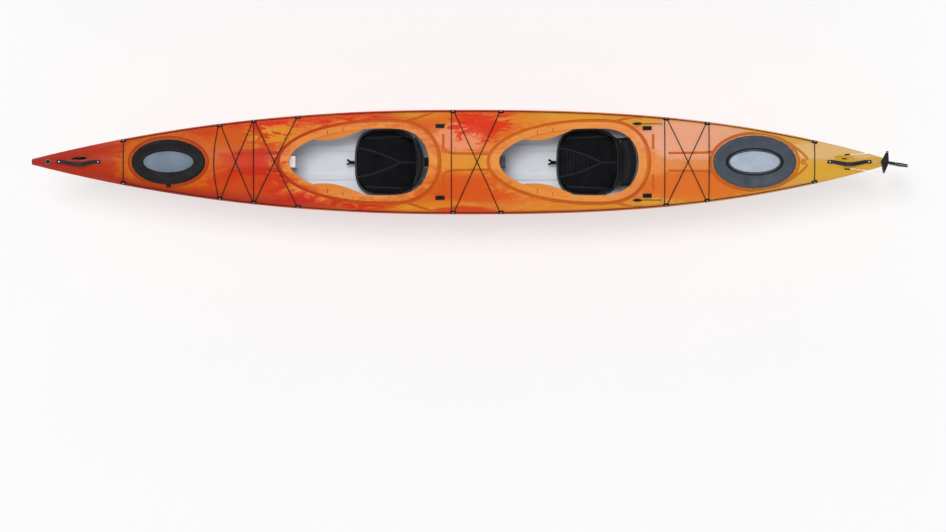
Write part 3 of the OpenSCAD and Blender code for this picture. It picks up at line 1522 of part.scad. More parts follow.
hull_shell();
deck_shell();
bow_bulkhead();
stern_bulkhead();
front_pillar();
middle_pillar();
seat_tracks();
bow_hatch_rim();
bow_hatch_cover();
bow_hatch_plate();
stern_hatch_rim();
stern_hatch_cover();
stern_hatch_plate();
front_seat_pan();
front_seat_cushion();
front_backrest_shell();
front_backrest_pad();
rear_seat_pan();
rear_seat_cushion();
hinge_rods();
rear_backrest_shell();
rear_backrest_pad();
seat_pulls();
front_rail_port();
front_rail_starboard();
rear_rail_port();
rear_rail_starboard();
slider_port();
slider_starboard();
front_pedal_port();
front_pedal_starboard();
rear_pedal_port();
rear_pedal_starboard();
rail_bolts();
gunwale_fittings();
perimeter_line_port();
perimeter_line_starboard();
fore_cords();
middle_cords();
aft_cords();
end_lines();
bow_handle();
stern_handle();
deck_screws();
bow_eye();
strap_anchors();
cleats();
cleat_cords();
deck_studs();
skeg_box();
skeg_pin();
skeg();
keel_strip();
rudder_socket();
rudder_yoke();
rudder_blade();
blade_bolt();
rudder_cables();
cable_bushings();
uphaul_line();
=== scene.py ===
# A two-seat touring kayak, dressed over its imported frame.
# +X runs from bow to stern, +Y to starboard, +Z up, in metres.

import math

import bmesh
import bpy
from mathutils import Matrix, Vector
from mathutils.bvhtree import BVHTree


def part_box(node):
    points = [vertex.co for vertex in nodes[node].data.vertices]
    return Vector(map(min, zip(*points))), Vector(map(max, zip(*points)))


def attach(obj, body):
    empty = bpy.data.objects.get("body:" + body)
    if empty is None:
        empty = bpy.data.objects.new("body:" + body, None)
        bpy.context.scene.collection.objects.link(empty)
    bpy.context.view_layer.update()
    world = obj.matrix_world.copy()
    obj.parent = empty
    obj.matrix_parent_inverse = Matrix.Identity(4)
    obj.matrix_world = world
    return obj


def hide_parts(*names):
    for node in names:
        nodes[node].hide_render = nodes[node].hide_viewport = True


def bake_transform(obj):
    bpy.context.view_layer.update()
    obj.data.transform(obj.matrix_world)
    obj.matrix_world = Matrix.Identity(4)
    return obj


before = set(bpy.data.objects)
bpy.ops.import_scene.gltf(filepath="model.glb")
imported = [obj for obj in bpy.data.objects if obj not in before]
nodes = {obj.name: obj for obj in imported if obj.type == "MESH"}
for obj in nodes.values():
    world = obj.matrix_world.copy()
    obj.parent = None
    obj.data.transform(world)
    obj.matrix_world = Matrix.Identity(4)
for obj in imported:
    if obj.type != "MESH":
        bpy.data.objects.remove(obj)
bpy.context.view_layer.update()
scene = bpy.context.scene


# Studio. The boat hangs over a pale floor, in a white room with three soft lamps.
# The camera looks straight down on it from far off, as the plan picture does.

scene.view_settings.view_transform = "Standard"

PICTURE_WIDTH = 946
METRES_PER_PIXEL = 0.00632
CAMERA_HEIGHT = 40.0
CAMERA_REACH = 500
FOCUS_HEIGHT = 0.22
SENSOR_WIDTH = 36

camera_data = bpy.data.cameras.new("camera")
camera_data.sensor_width = SENSOR_WIDTH
camera_data.lens = SENSOR_WIDTH * (CAMERA_HEIGHT - FOCUS_HEIGHT) / (PICTURE_WIDTH * METRES_PER_PIXEL)
camera_data.clip_end = CAMERA_REACH
camera = bpy.data.objects.new("camera", camera_data)
camera.location = (0.082, -0.657, CAMERA_HEIGHT)
scene.collection.objects.link(camera)
scene.camera = camera


def add(tree, kind, inputs=(), **settings):
    """A shader node with its settings and inputs: a socket is linked, anything else is a value."""
    made = tree.nodes.new(kind)
    for key, value in settings.items():
        setattr(made, key, value)
    for key, value in dict(inputs).items():
        if isinstance(value, bpy.types.NodeSocket):
            tree.links.new(value, made.inputs[key])
        else:
            made.inputs[key].default_value = value
    return made


def folded(tree, operation, first, *others):
    """Several values taken into one, one after another, by an operation."""
    for other in others:
        first = add(tree, "ShaderNodeMath", {0: first, 1: other}, operation=operation).outputs[0]
    return first


def any_of(tree, *values):
    """The largest of several values."""
    return folded(tree, "MAXIMUM", *values)


def product(tree, *values):
    """Several values multiplied."""
    return folded(tree, "MULTIPLY", *values)


def mapped(tree, value, low, high, first=0.0, last=1.0):
    """A value between two bounds, stretched to run from a first to a last one."""
    bounds = {"From Min": low, "From Max": high, "To Min": first, "To Max": last}
    return add(tree, "ShaderNodeMapRange", {"Value": value, **bounds}).outputs[0]


def in_view(tree):
    """One for the rays that a picture shows, straight, mirrored or through glass, and zero for light."""
    ray = add(tree, "ShaderNodeLightPath").outputs
    return any_of(tree, ray["Is Camera Ray"], ray["Is Glossy Ray"], ray["Is Transmission Ray"])


ROOM_LIGHT = 0.42
world = bpy.data.worlds.new("white_room")
scene.world = world
world.use_nodes = True
room = world.node_tree
room.nodes.clear()
strength = mapped(room, in_view(room), 0.0, 1.0, ROOM_LIGHT, 1.0)
background = add(room, "ShaderNodeBackground", {"Color": (1, 1, 1, 1), "Strength": strength})
add(room, "ShaderNodeOutputWorld", {"Surface": background.outputs[0]})


def lamp(name, direction, strength, spread):
    """A distant soft lamp that shines from a direction."""
    data = bpy.data.lights.new(name, "SUN")
    data.energy = strength
    data.angle = math.radians(spread)
    made = bpy.data.objects.new(name, data)
    made.rotation_mode = "QUATERNION"
    made.rotation_quaternion = Vector(direction).to_track_quat("Z", "Y")
    scene.collection.objects.link(made)


lamp("key_lamp", direction=(-0.12, 0.2, 1.0), strength=1.4, spread=20)
lamp("port_lamp", direction=(0.1, -1.0, 0.35), strength=0.75, spread=40)
lamp("starboard_lamp", direction=(-0.2, 1.0, 0.3), strength=0.55, spread=40)


def linear(red, green, blue):
    """A colour given as on a screen, 0 to 255, for a shader: the screen's curve undone."""
    def part(value):
        value = value / 255
        return value / 12.92 if value <= 0.04045 else ((value + 0.055) / 1.055) ** 2.4
    return (part(red), part(green), part(blue), 1)


def material(name):
    """A new material: its node tree and its shader."""
    made = bpy.data.materials.new(name)
    made.use_nodes = True
    return made, made.node_tree, made.node_tree.nodes["Principled BSDF"]


def own_place(tree):
    """Where a point lies on its own object."""
    return add(tree, "ShaderNodeTexCoord").outputs["Object"]


def noise(tree, place, scale, detail=2.0, distortion=0.0, roughness=0.5):
    """A value that drifts between 0 and 1 over a place."""
    made = add(tree, "ShaderNodeTexNoise", {"Vector": place, "Scale": scale, "Detail": detail})
    made.inputs["Distortion"].default_value = distortion
    made.inputs["Roughness"].default_value = roughness
    return made.outputs["Fac"]


def piece(name, bm, *materials):
    """A new object in the scene from a bmesh, with its materials."""
    mesh = bpy.data.meshes.new(name)
    bm.to_mesh(mesh)
    bm.free()
    for made in materials:
        mesh.materials.append(made)
    obj = bpy.data.objects.new(name, mesh)
    scene.collection.objects.link(obj)
    return obj


FLOOR_DEPTH = 0.45
FLOOR_HALF = 150
FLOOR_GLOW = 0.5
floor_paint, tree, shader = material("floor_paint")
mottle = noise(tree, own_place(tree), 1.5)
tree.links.new(mapped(tree, mottle, 0.0, 1.0, 0.95, 0.97), shader.inputs["Base Color"])
shader.inputs["Roughness"].default_value = 0.9
shader.inputs["Specular IOR Level"].default_value = 0.1
share = product(tree, in_view(tree), FLOOR_GLOW)
white = add(tree, "ShaderNodeEmission", {"Color": (1, 1, 1, 1), "Strength": 1.0}).outputs[0]
paler = add(tree, "ShaderNodeMixShader", {0: share, 1: shader.outputs[0], 2: white}).outputs[0]
tree.links.new(paler, tree.nodes["Material Output"].inputs["Surface"])
bm = bmesh.new()
bmesh.ops.create_grid(bm, x_segments=1, y_segments=1, size=FLOOR_HALF)
bmesh.ops.translate(bm, verts=bm.verts, vec=(0, 0, -FLOOR_DEPTH))
piece("floor", bm, floor_paint)


# Hull and deck. Marbled polyethylene, moulded in one with the two coamings; the seam is the gunwale edge.
# Red, orange and yellow powders run into each other along the boat, and the inside is white.

HALF_LENGTH = 2.7
HALF_BEAM = 0.331
END_BREADTH = 0.018
BOW_FULLNESS = 2.2
STERN_FULLNESS = 2.6
CREASE = 26


def half_breadth(x):
    """Half the width of the gunwale at a place along the boat."""
    fullness = BOW_FULLNESS if x < 0 else STERN_FULLNESS
    return END_BREADTH + (HALF_BEAM - END_BREADTH) * (1 - (abs(x) / HALF_LENGTH) ** fullness)


def merged(node):
    """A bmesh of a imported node, with its loose triangles joined."""
    bm = bmesh.new()
    bm.from_mesh(nodes[node].data)
    bmesh.ops.remove_doubles(bm, verts=bm.verts, dist=1e-5)
    for layer in list(bm.loops.layers.uv.values()):
        bm.loops.layers.uv.remove(layer)
    return bm


def crease(bm, degrees):
    """Smooth faces that meet sharply only where they turn by more than an angle."""
    limit = math.radians(degrees)
    for face in bm.faces:
        face.smooth = True
    for edge in bm.edges:
        edge.smooth = len(edge.link_faces) == 2 and edge.calc_face_angle(0) < limit


def bare(obj):
    """Drops normals that came with a copied mesh, so that its own creases count."""
    normals = obj.data.attributes.get("custom_normal")
    if normals:
        obj.data.attributes.remove(normals)
    return obj


def stand_for(obj, body, slot, *replaced):
    """A finished piece rides on its body and stands for its nodes; its slot is not used."""
    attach(obj, body)
    if replaced:
        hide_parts(*replaced)
    return obj


def ramp(tree, value, stops):
    """A colour or grey that changes with a value through several stops."""
    made = add(tree, "ShaderNodeValToRGB", {"Fac": value})
    elements = made.color_ramp.elements
    while len(elements) < len(stops):
        elements.new(1.0)
    for element, (where, tone) in zip(elements, stops):
        element.position = where
        element.color = tone if hasattr(tone, "__len__") else (tone, tone, tone, 1)
    return made.outputs["Color"]


def mixed(tree, share, first, second):
    """Two colours mixed by a share."""
    return add(tree, "ShaderNodeMix", {0: share, 6: first, 7: second}, data_type="RGBA").outputs[2]


def group(name, inputs, outputs):
    """An empty shader group with named sockets: its tree, its inputs and its output node."""
    made = bpy.data.node_groups.new(name, "ShaderNodeTree")
    for label, kind in inputs:
        made.interface.new_socket(label, in_out="INPUT", socket_type="NodeSocket" + kind)
    for label, kind in outputs:
        made.interface.new_socket(label, in_out="OUTPUT", socket_type="NodeSocket" + kind)
    return made, made.nodes.new("NodeGroupInput").outputs, made.nodes.new("NodeGroupOutput").inputs


# The fine skin that a mould leaves, as a roughness and a normal
moulded_grain, given, out = group(
    "moulded_grain",
    [("Scale", "Float"), ("Depth", "Float"), ("Smooth", "Float"), ("Rough", "Float")],
    [("Roughness", "Float"), ("Normal", "Vector")])
place = own_place(moulded_grain)
fine = noise(moulded_grain, place, given["Scale"], detail=3.0)
broad = noise(moulded_grain, place, 14.0, detail=4.0)
dull = mapped(moulded_grain, broad, 0.35, 0.65, given["Smooth"], given["Rough"])
dimple = add(moulded_grain, "ShaderNodeBump", {
    "Strength": given["Depth"], "Distance": 0.0008, "Height": fine})
moulded_grain.links.new(dull, out["Roughness"])
moulded_grain.links.new(dimple.outputs[0], out["Normal"])


def put_group(tree, made, inputs):
    """A group's node in a material, with its own values."""
    return add(tree, "ShaderNodeGroup", inputs, node_tree=made).outputs


def grained(tree, shader, scale, depth, smooth, rough):
    """Gives a shader the skin of its mould."""
    skin = put_group(tree, moulded_grain, {"Scale": scale, "Depth": depth, "Smooth": smooth, "Rough": rough})
    tree.links.new(skin["Roughness"], shader.inputs["Roughness"])
    tree.links.new(skin["Normal"], shader.inputs["Normal"])


def vectors(tree, operation, *values):
    """What an operation makes of places or directions."""
    return add(tree, "ShaderNodeVectorMath", enumerate(values), operation=operation).outputs


RED = linear(204, 34, 18)
SCARLET = linear(220, 46, 26)
RED_ORANGE = linear(214, 82, 26)
ORANGE = linear(220, 104, 32)
COPPER = linear(208, 104, 28)
APRICOT = linear(232, 150, 68)
PINK = linear(236, 146, 104)
AMBER = linear(226, 150, 44)
YELLOW = linear(218, 166, 44)
STRAW = linear(224, 186, 132)
BLUSH = linear(234, 166, 136)
# A darker red for painted shade on the port edge of the fore deck
PORT_SHADE_RED = linear(160, 34, 16)
# An orange-brown for painted shade in the grooves
GROOVE_SHADE = linear(196, 84, 18)
SCUFFED = linear(230, 180, 150)
PLASTIC_SHINE = 0.08
STATIONS = 12

marbled, tree, shader = material("marbled_polyethylene")
place = own_place(tree)
axis = add(tree, "ShaderNodeSeparateXYZ", {"Vector": place}).outputs
along = mapped(tree, axis["X"], -HALF_LENGTH, HALF_LENGTH)
high = mapped(tree, axis["Z"], 0.18, 0.24)
low = mapped(tree, axis["Z"], 0.26, 0.17)
flow = add(tree, "ShaderNodeMapping", {"Vector": place, "Scale": (0.55, 1.5, 1.5)}).outputs[0]
swirl = noise(tree, flow, 3.0, detail=5.0, distortion=1.6)
fleck = noise(tree, flow, 9.0, detail=6.0, distortion=2.4, roughness=0.65)
cloud = noise(tree, flow, 1.7, detail=3.0, distortion=0.8)
where = folded(tree, "ADD", along, mapped(tree, cloud, 0.3, 0.7, -0.025, 0.025))
coloured = ramp(tree, where, [
    (0.0, linear(156, 38, 30)), (0.06, linear(174, 46, 24)), (0.17, linear(200, 82, 24)),
    (0.23, linear(204, 74, 24)), (0.3, linear(206, 60, 22)), (0.4, linear(214, 88, 26)),
    (0.47, linear(222, 114, 36)), (0.6, linear(222, 116, 38)), (0.7, linear(230, 134, 68)),
    (0.82, linear(226, 140, 76)), (0.9, linear(216, 156, 76)), (1.0, linear(206, 164, 62))])
# Red streaks on the fore deck and about the front cockpit
streak = ramp(tree, swirl, [(0.44, 0.0), (0.53, 1.0)])
speckle = ramp(tree, fleck, [(0.47, 0.0), (0.53, 1.0)])
red_deck = ramp(tree, along, [
    (0.0, 0.1), (0.14, 0.1), (0.24, 0.45), (0.3, 0.8), (0.39, 0.6), (0.45, 0.3), (0.56, 0.3), (0.7, 0.1),
    (0.85, 0.0)])
red_share = product(tree, red_deck, any_of(tree, streak, product(tree, speckle, 0.45)))
coloured = mixed(tree, red_share, coloured, RED)
# Yellow along the gunwales, from the front seat aft
off_middle = add(tree, "ShaderNodeMath", {0: axis["Y"]}, operation="ABSOLUTE").outputs[0]
breadth = ramp(tree, along, [
    (k / STATIONS, half_breadth((2 * k / STATIONS - 1) * HALF_LENGTH) / HALF_BEAM)
    for k in range(STATIONS + 1)])
from_edge = folded(tree, "SUBTRACT", product(tree, breadth, HALF_BEAM), off_middle)
edge = mapped(tree, from_edge, 0.095, 0.04)
edge_place = ramp(tree, along, [
    (0.38, 0.0), (0.44, 0.85), (0.49, 0.55), (0.55, 0.7), (0.62, 1.0), (0.75, 0.9), (0.83, 0.6), (0.88, 0.0)])
patch = ramp(tree, swirl, [(0.44, 1.0), (0.6, 0.5)])
coloured = mixed(tree, product(tree, edge, high, edge_place, patch), coloured, YELLOW)
# Pools of one powder on the deck, with ragged edges: colour, share, middle and half lengths along and across.
# Splashes are torn further apart.
POOLS = [
    (COPPER, 0.8, -1.84, 0.0, 0.34, 0.2), (COPPER, 0.6, -1.42, 0.13, 0.17, 0.09),
    (RED, 0.9, -0.95, 0.285, 0.55, 0.05), (RED, 0.85, -0.82, -0.265, 0.45, 0.05),
    (RED, 0.4, -1.0, -0.19, 0.24, 0.04), (RED, 0.75, -1.27, 0.055, 0.18, 0.03),
    (RED, 0.75, -1.27, -0.055, 0.18, 0.03), (PINK, 0.85, 0.0, 0.16, 0.17, 0.1),
    (AMBER, 0.75, 0.04, 0.0, 0.24, 0.07), (RED_ORANGE, 0.8, 0.1, -0.17, 0.32, 0.09),
    (BLUSH, 0.85, 1.49, 0.15, 0.37, 0.14), (ORANGE, 0.8, 1.48, -0.15, 0.38, 0.1),
    (RED, 0.8, 0.03, -0.305, 0.2, 0.03), (RED_ORANGE, 0.65, 0.17, 0.3, 0.2, 0.035),
    (STRAW, 0.7, 2.35, 0.07, 0.32, 0.06), (YELLOW, 0.7, 2.36, -0.06, 0.34, 0.07),
    (APRICOT, 0.8, -0.637, 0.0, 0.52, 0.275), (APRICOT, 0.8, 0.687, 0.0, 0.52, 0.275)]
SPLASHES = [(SCARLET, 0.9, 0.15, 0.225, 0.17, 0.08), (SCARLET, 0.6, 0.02, 0.275, 0.1, 0.035)]
SPLASH_TEAR = 4.0
tear = mapped(tree, fleck, 0.3, 0.7, -0.22, 0.22)
for spots, tearing in ((POOLS, 1.0), (SPLASHES, SPLASH_TEAR)):
    torn = product(tree, tear, tearing)
    for tone, share, x, y, reach, spread in spots:
        offset = vectors(tree, "SUBTRACT", place, (x, y, 0))[0]
        scaled = vectors(tree, "MULTIPLY", offset, (1 / reach, 1 / spread, 0))[0]
        radius = vectors(tree, "LENGTH", scaled)["Value"]
        pool = mapped(tree, folded(tree, "ADD", radius, torn), 1.08, 0.82, 0.0, share)
        coloured = mixed(tree, product(tree, pool, high), coloured, tone)
# Painted shade along the port edge of the fore deck: a darker red, partly the plastic's own red and partly
# the shade of the side turned from the light
rim = mapped(tree, from_edge, 0.075, 0.02)
to_port = mapped(tree, axis["Y"], 0.02, -0.02)
port_shade_along = ramp(tree, along, [(0.03, 0.0), (0.09, 0.85), (0.26, 0.85), (0.35, 0.5), (0.4, 0.0)])
coloured = mixed(tree, product(tree, rim, high, to_port, port_shade_along), coloured, PORT_SHADE_RED)
# Amber flecks that break up the red ahead of the front cockpit, to starboard, and scarlet along that edge
fleck_place = ramp(tree, along, [(0.24, 0.0), (0.262, 0.85), (0.31, 0.8), (0.34, 0.0)])
starboard_half = mapped(tree, axis["Y"], 0.06, 0.14)
coloured = mixed(tree, product(tree, fleck_place, starboard_half, high, speckle), coloured, AMBER)
to_starboard = mapped(tree, axis["Y"], -0.02, 0.02)
starboard_rim = ramp(tree, along, [(0.2, 0.0), (0.28, 0.8), (0.34, 0.8), (0.4, 0.0)])
coloured = mixed(tree, product(tree, rim, high, to_starboard, starboard_rim), coloured, SCARLET)
# The hull's sides: broad bands of one powder after another with torn edges, redder towards the keel
frayed = folded(tree, "ADD", where, product(tree, tear, 0.09))
sides = ramp(tree, frayed, [
    (0.0, linear(196, 58, 34)), (0.07, linear(204, 76, 38)), (0.11, linear(214, 106, 40)),
    (0.15, linear(208, 92, 32)), (0.2, linear(202, 76, 26)), (0.265, linear(206, 82, 26)),
    (0.29, linear(214, 116, 36)), (0.36, linear(214, 124, 38)), (0.375, linear(216, 58, 28)),
    (0.46, linear(212, 46, 26)), (0.55, linear(214, 56, 26)), (0.59, linear(216, 86, 32)),
    (0.68, linear(216, 90, 34)), (0.695, linear(208, 56, 28)), (0.755, linear(208, 64, 28)),
    (0.78, linear(218, 112, 36)), (0.85, linear(222, 132, 34)), (0.91, linear(218, 144, 34)),
    (1.0, linear(222, 172, 48))])
sides = mixed(tree, product(tree, streak, 0.2), sides, RED)
to_keel = mapped(tree, axis["Z"], 0.13, 0.02, 0.0, 0.4)
red_keel = ramp(tree, along, [(0.0, 1.0), (0.78, 1.0), (0.88, 0.25), (1.0, 0.0)])
sides = mixed(tree, product(tree, to_keel, red_keel), sides, RED)
coloured = mixed(tree, low, coloured, sides)
# Scuffs, paler, along the keel where the boat is dragged ashore
scratch = add(tree, "ShaderNodeMapping", {"Vector": place, "Scale": (2.0, 60.0, 30.0)}).outputs[0]
scuff_lines = ramp(tree, noise(tree, scratch, 4.0, detail=4.0), [(0.55, 0.0), (0.68, 1.0)])
near_keel = mapped(tree, axis["Z"], 0.05, 0.0, 0.0, 0.35)
coloured = mixed(tree, product(tree, near_keel, scuff_lines), coloured, SCUFFED)
tree.links.new(coloured, shader.inputs["Base Color"])
shader.inputs["Specular IOR Level"].default_value = PLASTIC_SHINE
grained(tree, shader, 420.0, 0.05, 0.30, 0.42)

# The grooves' plastic: the shell's tones darkened along the boat, painted shade in the recesses
shaded_groove_plastic, tree, shader = material("shaded_groove_plastic")
place = own_place(tree)
axis = add(tree, "ShaderNodeSeparateXYZ", {"Vector": place}).outputs
along = mapped(tree, axis["X"], -HALF_LENGTH, HALF_LENGTH)
groove_shade_tones = ramp(tree, along, [
    (0.0, linear(136, 34, 24)), (0.16, linear(176, 64, 20)), (0.28, linear(178, 38, 16)),
    (0.4, linear(196, 84, 20)), (0.5, linear(204, 106, 22)), (0.62, linear(206, 104, 26)),
    (0.8, linear(204, 104, 36)), (0.9, linear(198, 122, 34)), (0.94, linear(208, 158, 36)),
    (1.0, linear(200, 156, 40))])
fade = ramp(tree, along, [(0.86, 0.5), (0.92, 0.0)])
drifting = product(tree, noise(tree, place, 6.0, detail=3.0), fade)
tree.links.new(mixed(tree, drifting, groove_shade_tones, GROOVE_SHADE), shader.inputs["Base Color"])
shader.inputs["Specular IOR Level"].default_value = PLASTIC_SHINE
grained(tree, shader, 420.0, 0.05, 0.34, 0.46)

white_inside, tree, shader = material("white_inside")
drift = noise(tree, own_place(tree), 5.0, detail=4.0)
tree.links.new(mixed(tree, drift, linear(228, 232, 240), linear(244, 246, 250)), shader.inputs["Base Color"])
grained(tree, shader, 260.0, 0.12, 0.5, 0.62)

bm = merged("hull_shell")
crease(bm, CREASE)
MIDDLE_HEIGHT = 0.25
for face in bm.faces:
    middle = face.calc_center_median()
    outward = Vector((0, middle.y, middle.z - MIDDLE_HEIGHT))
    face.material_index = 1 if face.normal.dot(outward) < 0 else 0
hull = bare(piece("hull", bm, marbled, white_inside))
stand_for(hull, "boat", "shell", "hull_shell")

UNDERSIDE = -0.15
bm = merged("deck_shell")
deck_surface = BVHTree.FromBMesh(bm)
for face in bm.faces:
    face.material_index = 1 if face.normal.z < UNDERSIDE else 0
deck = bare(piece("deck", bm, marbled, white_inside, shaded_groove_plastic))


def deck_point(x, y, lift):
    """The place over a point of the deck's upper side, lifted along its normal."""
    hit, normal, _, _ = deck_surface.ray_cast(Vector((x, y, 1)), Vector((0, 0, -1)))
    return hit + normal * lift


def smoothed(points, rounds):
    """A path with its corners eased, its ends kept."""
    path = [Vector(p) for p in points]
    for _ in range(rounds):
        path = [path[0]] + [(a + 2 * b + c) / 4 for a, b, c in zip(path, path[1:], path[2:])] + [path[-1]]
    return path


def spaced(points, step):
    """A path with points at an even step along each of its spans."""
    made = []
    for a, b in zip(points, points[1:]):
        a, b = Vector(a), Vector(b)
        count = max(1, math.ceil((b - a).length / step))
        made += [a.lerp(b, k / count) for k in range(count)]
    return made + [Vector(points[-1])]


def swept(name, runs, radius):
    """A curve object with a round section along each path; a path is open, or closed on itself."""
    data = bpy.data.curves.new(name, "CURVE")
    data.dimensions = "3D"
    for path, closed in runs:
        spline = data.splines.new("POLY")
        spline.points.add(len(path) - 1)
        for point, where in zip(spline.points, path):
            point.co = (*where, 1)
        spline.use_cyclic_u = closed
    data.bevel_depth = radius
    data.bevel_resolution = 3
    data.use_fill_caps = True
    obj = bpy.data.objects.new(name, data)
    scene.collection.objects.link(obj)
    return obj


def shown(obj):
    """The mesh that an object's curve or modifiers make."""
    bpy.context.view_layer.update()
    return bpy.data.meshes.new_from_object(obj.evaluated_get(bpy.context.evaluated_depsgraph_get()))


def swept_form(runs, radius):
    """A bmesh with a round section along each path."""
    obj = swept("run", runs, radius)
    bm = bmesh.new()
    bm.from_mesh(shown(obj))
    bpy.data.objects.remove(obj)
    return bm


def block(bm, size, middle):
    """A cuboid in a bmesh, about a middle."""
    made = bmesh.ops.create_cube(bm, size=1)["verts"]
    bmesh.ops.scale(bm, vec=size, verts=made)
    bmesh.ops.translate(bm, vec=middle, verts=made)


def pebble(bm, segments, half_size, middle):
    """A flattened ball in a bmesh, about a middle."""
    made = bmesh.ops.create_uvsphere(bm, u_segments=segments, v_segments=segments // 2, radius=1)["verts"]
    bmesh.ops.scale(bm, vec=half_size, verts=made)
    bmesh.ops.translate(bm, vec=middle, verts=made)


def press(target, bm, paint):
    """Presses closed cutters into a piece, which shows their material where they went in."""
    bmesh.ops.recalc_face_normals(bm, faces=bm.faces)
    cutter = piece("cutter", bm, paint)
    cut = target.modifiers.new("pressed", "BOOLEAN")
    cut.operation = "DIFFERENCE"
    cut.solver = "EXACT"
    cut.object = cutter
    cut.material_mode = "TRANSFER"
    target.data = shown(target)
    target.modifiers.clear()
    bpy.data.objects.remove(cutter)


# The grooves that the mould presses into the deck: a ring round each coaming and hatch,
# then spines along the middle, bars and flicks about the coamings, and small slots and dips
RING_RADIUS = 0.015
RING_LIFT = 0.0109
RING_POINTS = 96
HATCH_POINTS = 72
SPINE_RADIUS = 0.012
SPINE_LIFT = 0.0082
SPINE_STEP = 0.02
GROOVE_ROOM = 0.013
GROOVE_MARGIN = 0.02
COCKPITS = (-1.078, 0.246)
COCKPIT_LENGTH = 0.882
COCKPIT_WIDEST = 0.6
COCKPIT_HALF_WIDTH = 0.212
BACK_ROUND = 3
COAMING_END = 0.056
COAMING_SIDE = 0.038


def cockpit_ring(x0, grow):
    """The edge of a coaming's flange, grown outwards."""
    ring = []
    for k in range(RING_POINTS):
        a = 2 * math.pi * k / RING_POINTS
        front = math.cos(a) < 0
        reach = (COCKPIT_WIDEST if front else COCKPIT_LENGTH - COCKPIT_WIDEST) + COAMING_END + grow
        share = math.cos(a) if front else math.cos(a) ** (2 / BACK_ROUND)
        y = (COCKPIT_HALF_WIDTH + COAMING_SIDE + grow) * math.sin(a)
        ring.append((x0 + COCKPIT_WIDEST + reach * share, y))
    return ring


def hatch_ring(node, grow):
    """The oval of a hatch cover, grown outwards."""
    lo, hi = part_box(node)
    half = (hi - lo) / 2
    turns = [2 * math.pi * k / HATCH_POINTS for k in range(HATCH_POINTS)]
    return [((lo.x + hi.x) / 2 + (half.x + grow) * math.cos(a), (half.y + grow) * math.sin(a)) for a in turns]


def laid(flat, lift):
    """A flat path laid along the deck at a groove's height."""
    return [deck_point(x, y, lift) for x, y in flat]


loops = [cockpit_ring(x0, GROOVE_ROOM) for x0 in COCKPITS]
loops += [hatch_ring(node, GROOVE_ROOM) for node in ("bow_hatch_cover", "stern_hatch_cover")]
press(deck, swept_form([(laid(ring, RING_LIFT), True) for ring in loops], RING_RADIUS), shaded_groove_plastic)

FLICK = [(0.735, 0.257), (0.78, 0.268), (0.83, 0.286), (0.905, 0.316)]
BAR = [(0.972, 0.08), (0.972, 0.175)]
SPINES = [
    [(-1.42, 0.052), (-1.138, 0.052)],
    [(-0.10, 0.075), (-0.072, 0.053), (0.186, 0.05)],
    [(1.315, 0.056), (1.565, 0.058), (1.605, 0.068)],
    [(2.075, 0.118), (2.135, 0.078), (2.185, 0.034), (2.193, 0.012)]]
SLOTS = [(0.243, 0.184), (0.339, 0.198)]
SLOT_SIZE = (0.006, 0.03, 0.006)
DIPS = [
    (-2.405, 0.033, (0.085, 0.024, 0.0065)), (2.43, 0.03, (0.07, 0.022, 0.0065)),
    (2.163, 0, (0.021, 0.021, 0.007))]
DIP_LIFT = 0.0025
paths = [[(x0 + d, min(y, half_breadth(x0 + d) - GROOVE_MARGIN)) for d, y in FLICK] for x0 in COCKPITS]
paths += [[(x0 + d, y) for d, y in BAR] for x0 in COCKPITS]
paths += SPINES
runs = []
for path in paths:
    for side in (-1, 1):
        flat = smoothed(spaced([(x, side * y, 0) for x, y in path], SPINE_STEP), rounds=4)
        runs.append((laid([(p.x, p.y) for p in flat], SPINE_LIFT), False))
bm = swept_form(runs, SPINE_RADIUS)
for x0 in COCKPITS:
    for d, y in SLOTS:
        for side in (-1, 1):
            block(bm, SLOT_SIZE, deck_point(x0 + d, side * y, 0))
for x, y, half_size in DIPS:
    pebble(bm, 24, half_size, deck_point(x, y, DIP_LIFT))
press(deck, bm, shaded_groove_plastic)
bm = bmesh.new()
bm.from_mesh(deck.data)
bmesh.ops.dissolve_degenerate(bm, edges=bm.edges, dist=1e-6)
crease(bm, CREASE)
bm.to_mesh(deck.data)
bm.free()
stand_for(deck, "boat", "shell", "deck_shell")


# Cords. Black braided line runs round the gunwales through the fittings, and elastic cord crosses the deck.
# Each is one length, drawn taut between its fittings, and lies on the deck.

SIDES = ((-1, "port"), (1, "starboard"))
FITTINGS = (-2.124, -1.517, -1.302, -1.024, -0.044, 0.259, 1.302, 1.561, 2.237)
CORD_RADIUS = 0.003
CORD_LIFT = 0.0045
CORD_SPREAD = 0.01
CORD_INSET = 0.0225
CORD_POINTS = 36
CORD_ARCH = 0.0075
ARCH_REACH = 0.09
FORE_BOW = -0.026
BEVEL_SHARE = 0.3

braid, tree, shader = material("braided_line")
strand = add(tree, "ShaderNodeTexVoronoi", {"Vector": own_place(tree), "Scale": 420.0}).outputs["Distance"]
tree.links.new(mixed(tree, strand, linear(38, 30, 28), linear(16, 14, 14)), shader.inputs["Base Color"])
plait = add(tree, "ShaderNodeBump", {"Strength": 0.5, "Distance": 0.0006, "Height": strand})
tree.links.new(plait.outputs[0], shader.inputs["Normal"])
shader.inputs["Roughness"].default_value = 0.7
shader.inputs["Specular IOR Level"].default_value = 0.15


def cord_piece(name, path, radius, node):
    """A round black cord along a path, on the boat, that stands for its node."""
    obj = swept(name, [(path, False)], radius)
    obj.data.materials.append(braid)
    stand_for(obj, "boat", "deck_line", node)


def bevel_inset(x, inset):
    """A distance in from the gunwale edge, kept on the bevel where the boat is narrow."""
    return min(inset, BEVEL_SHARE * half_breadth(x))


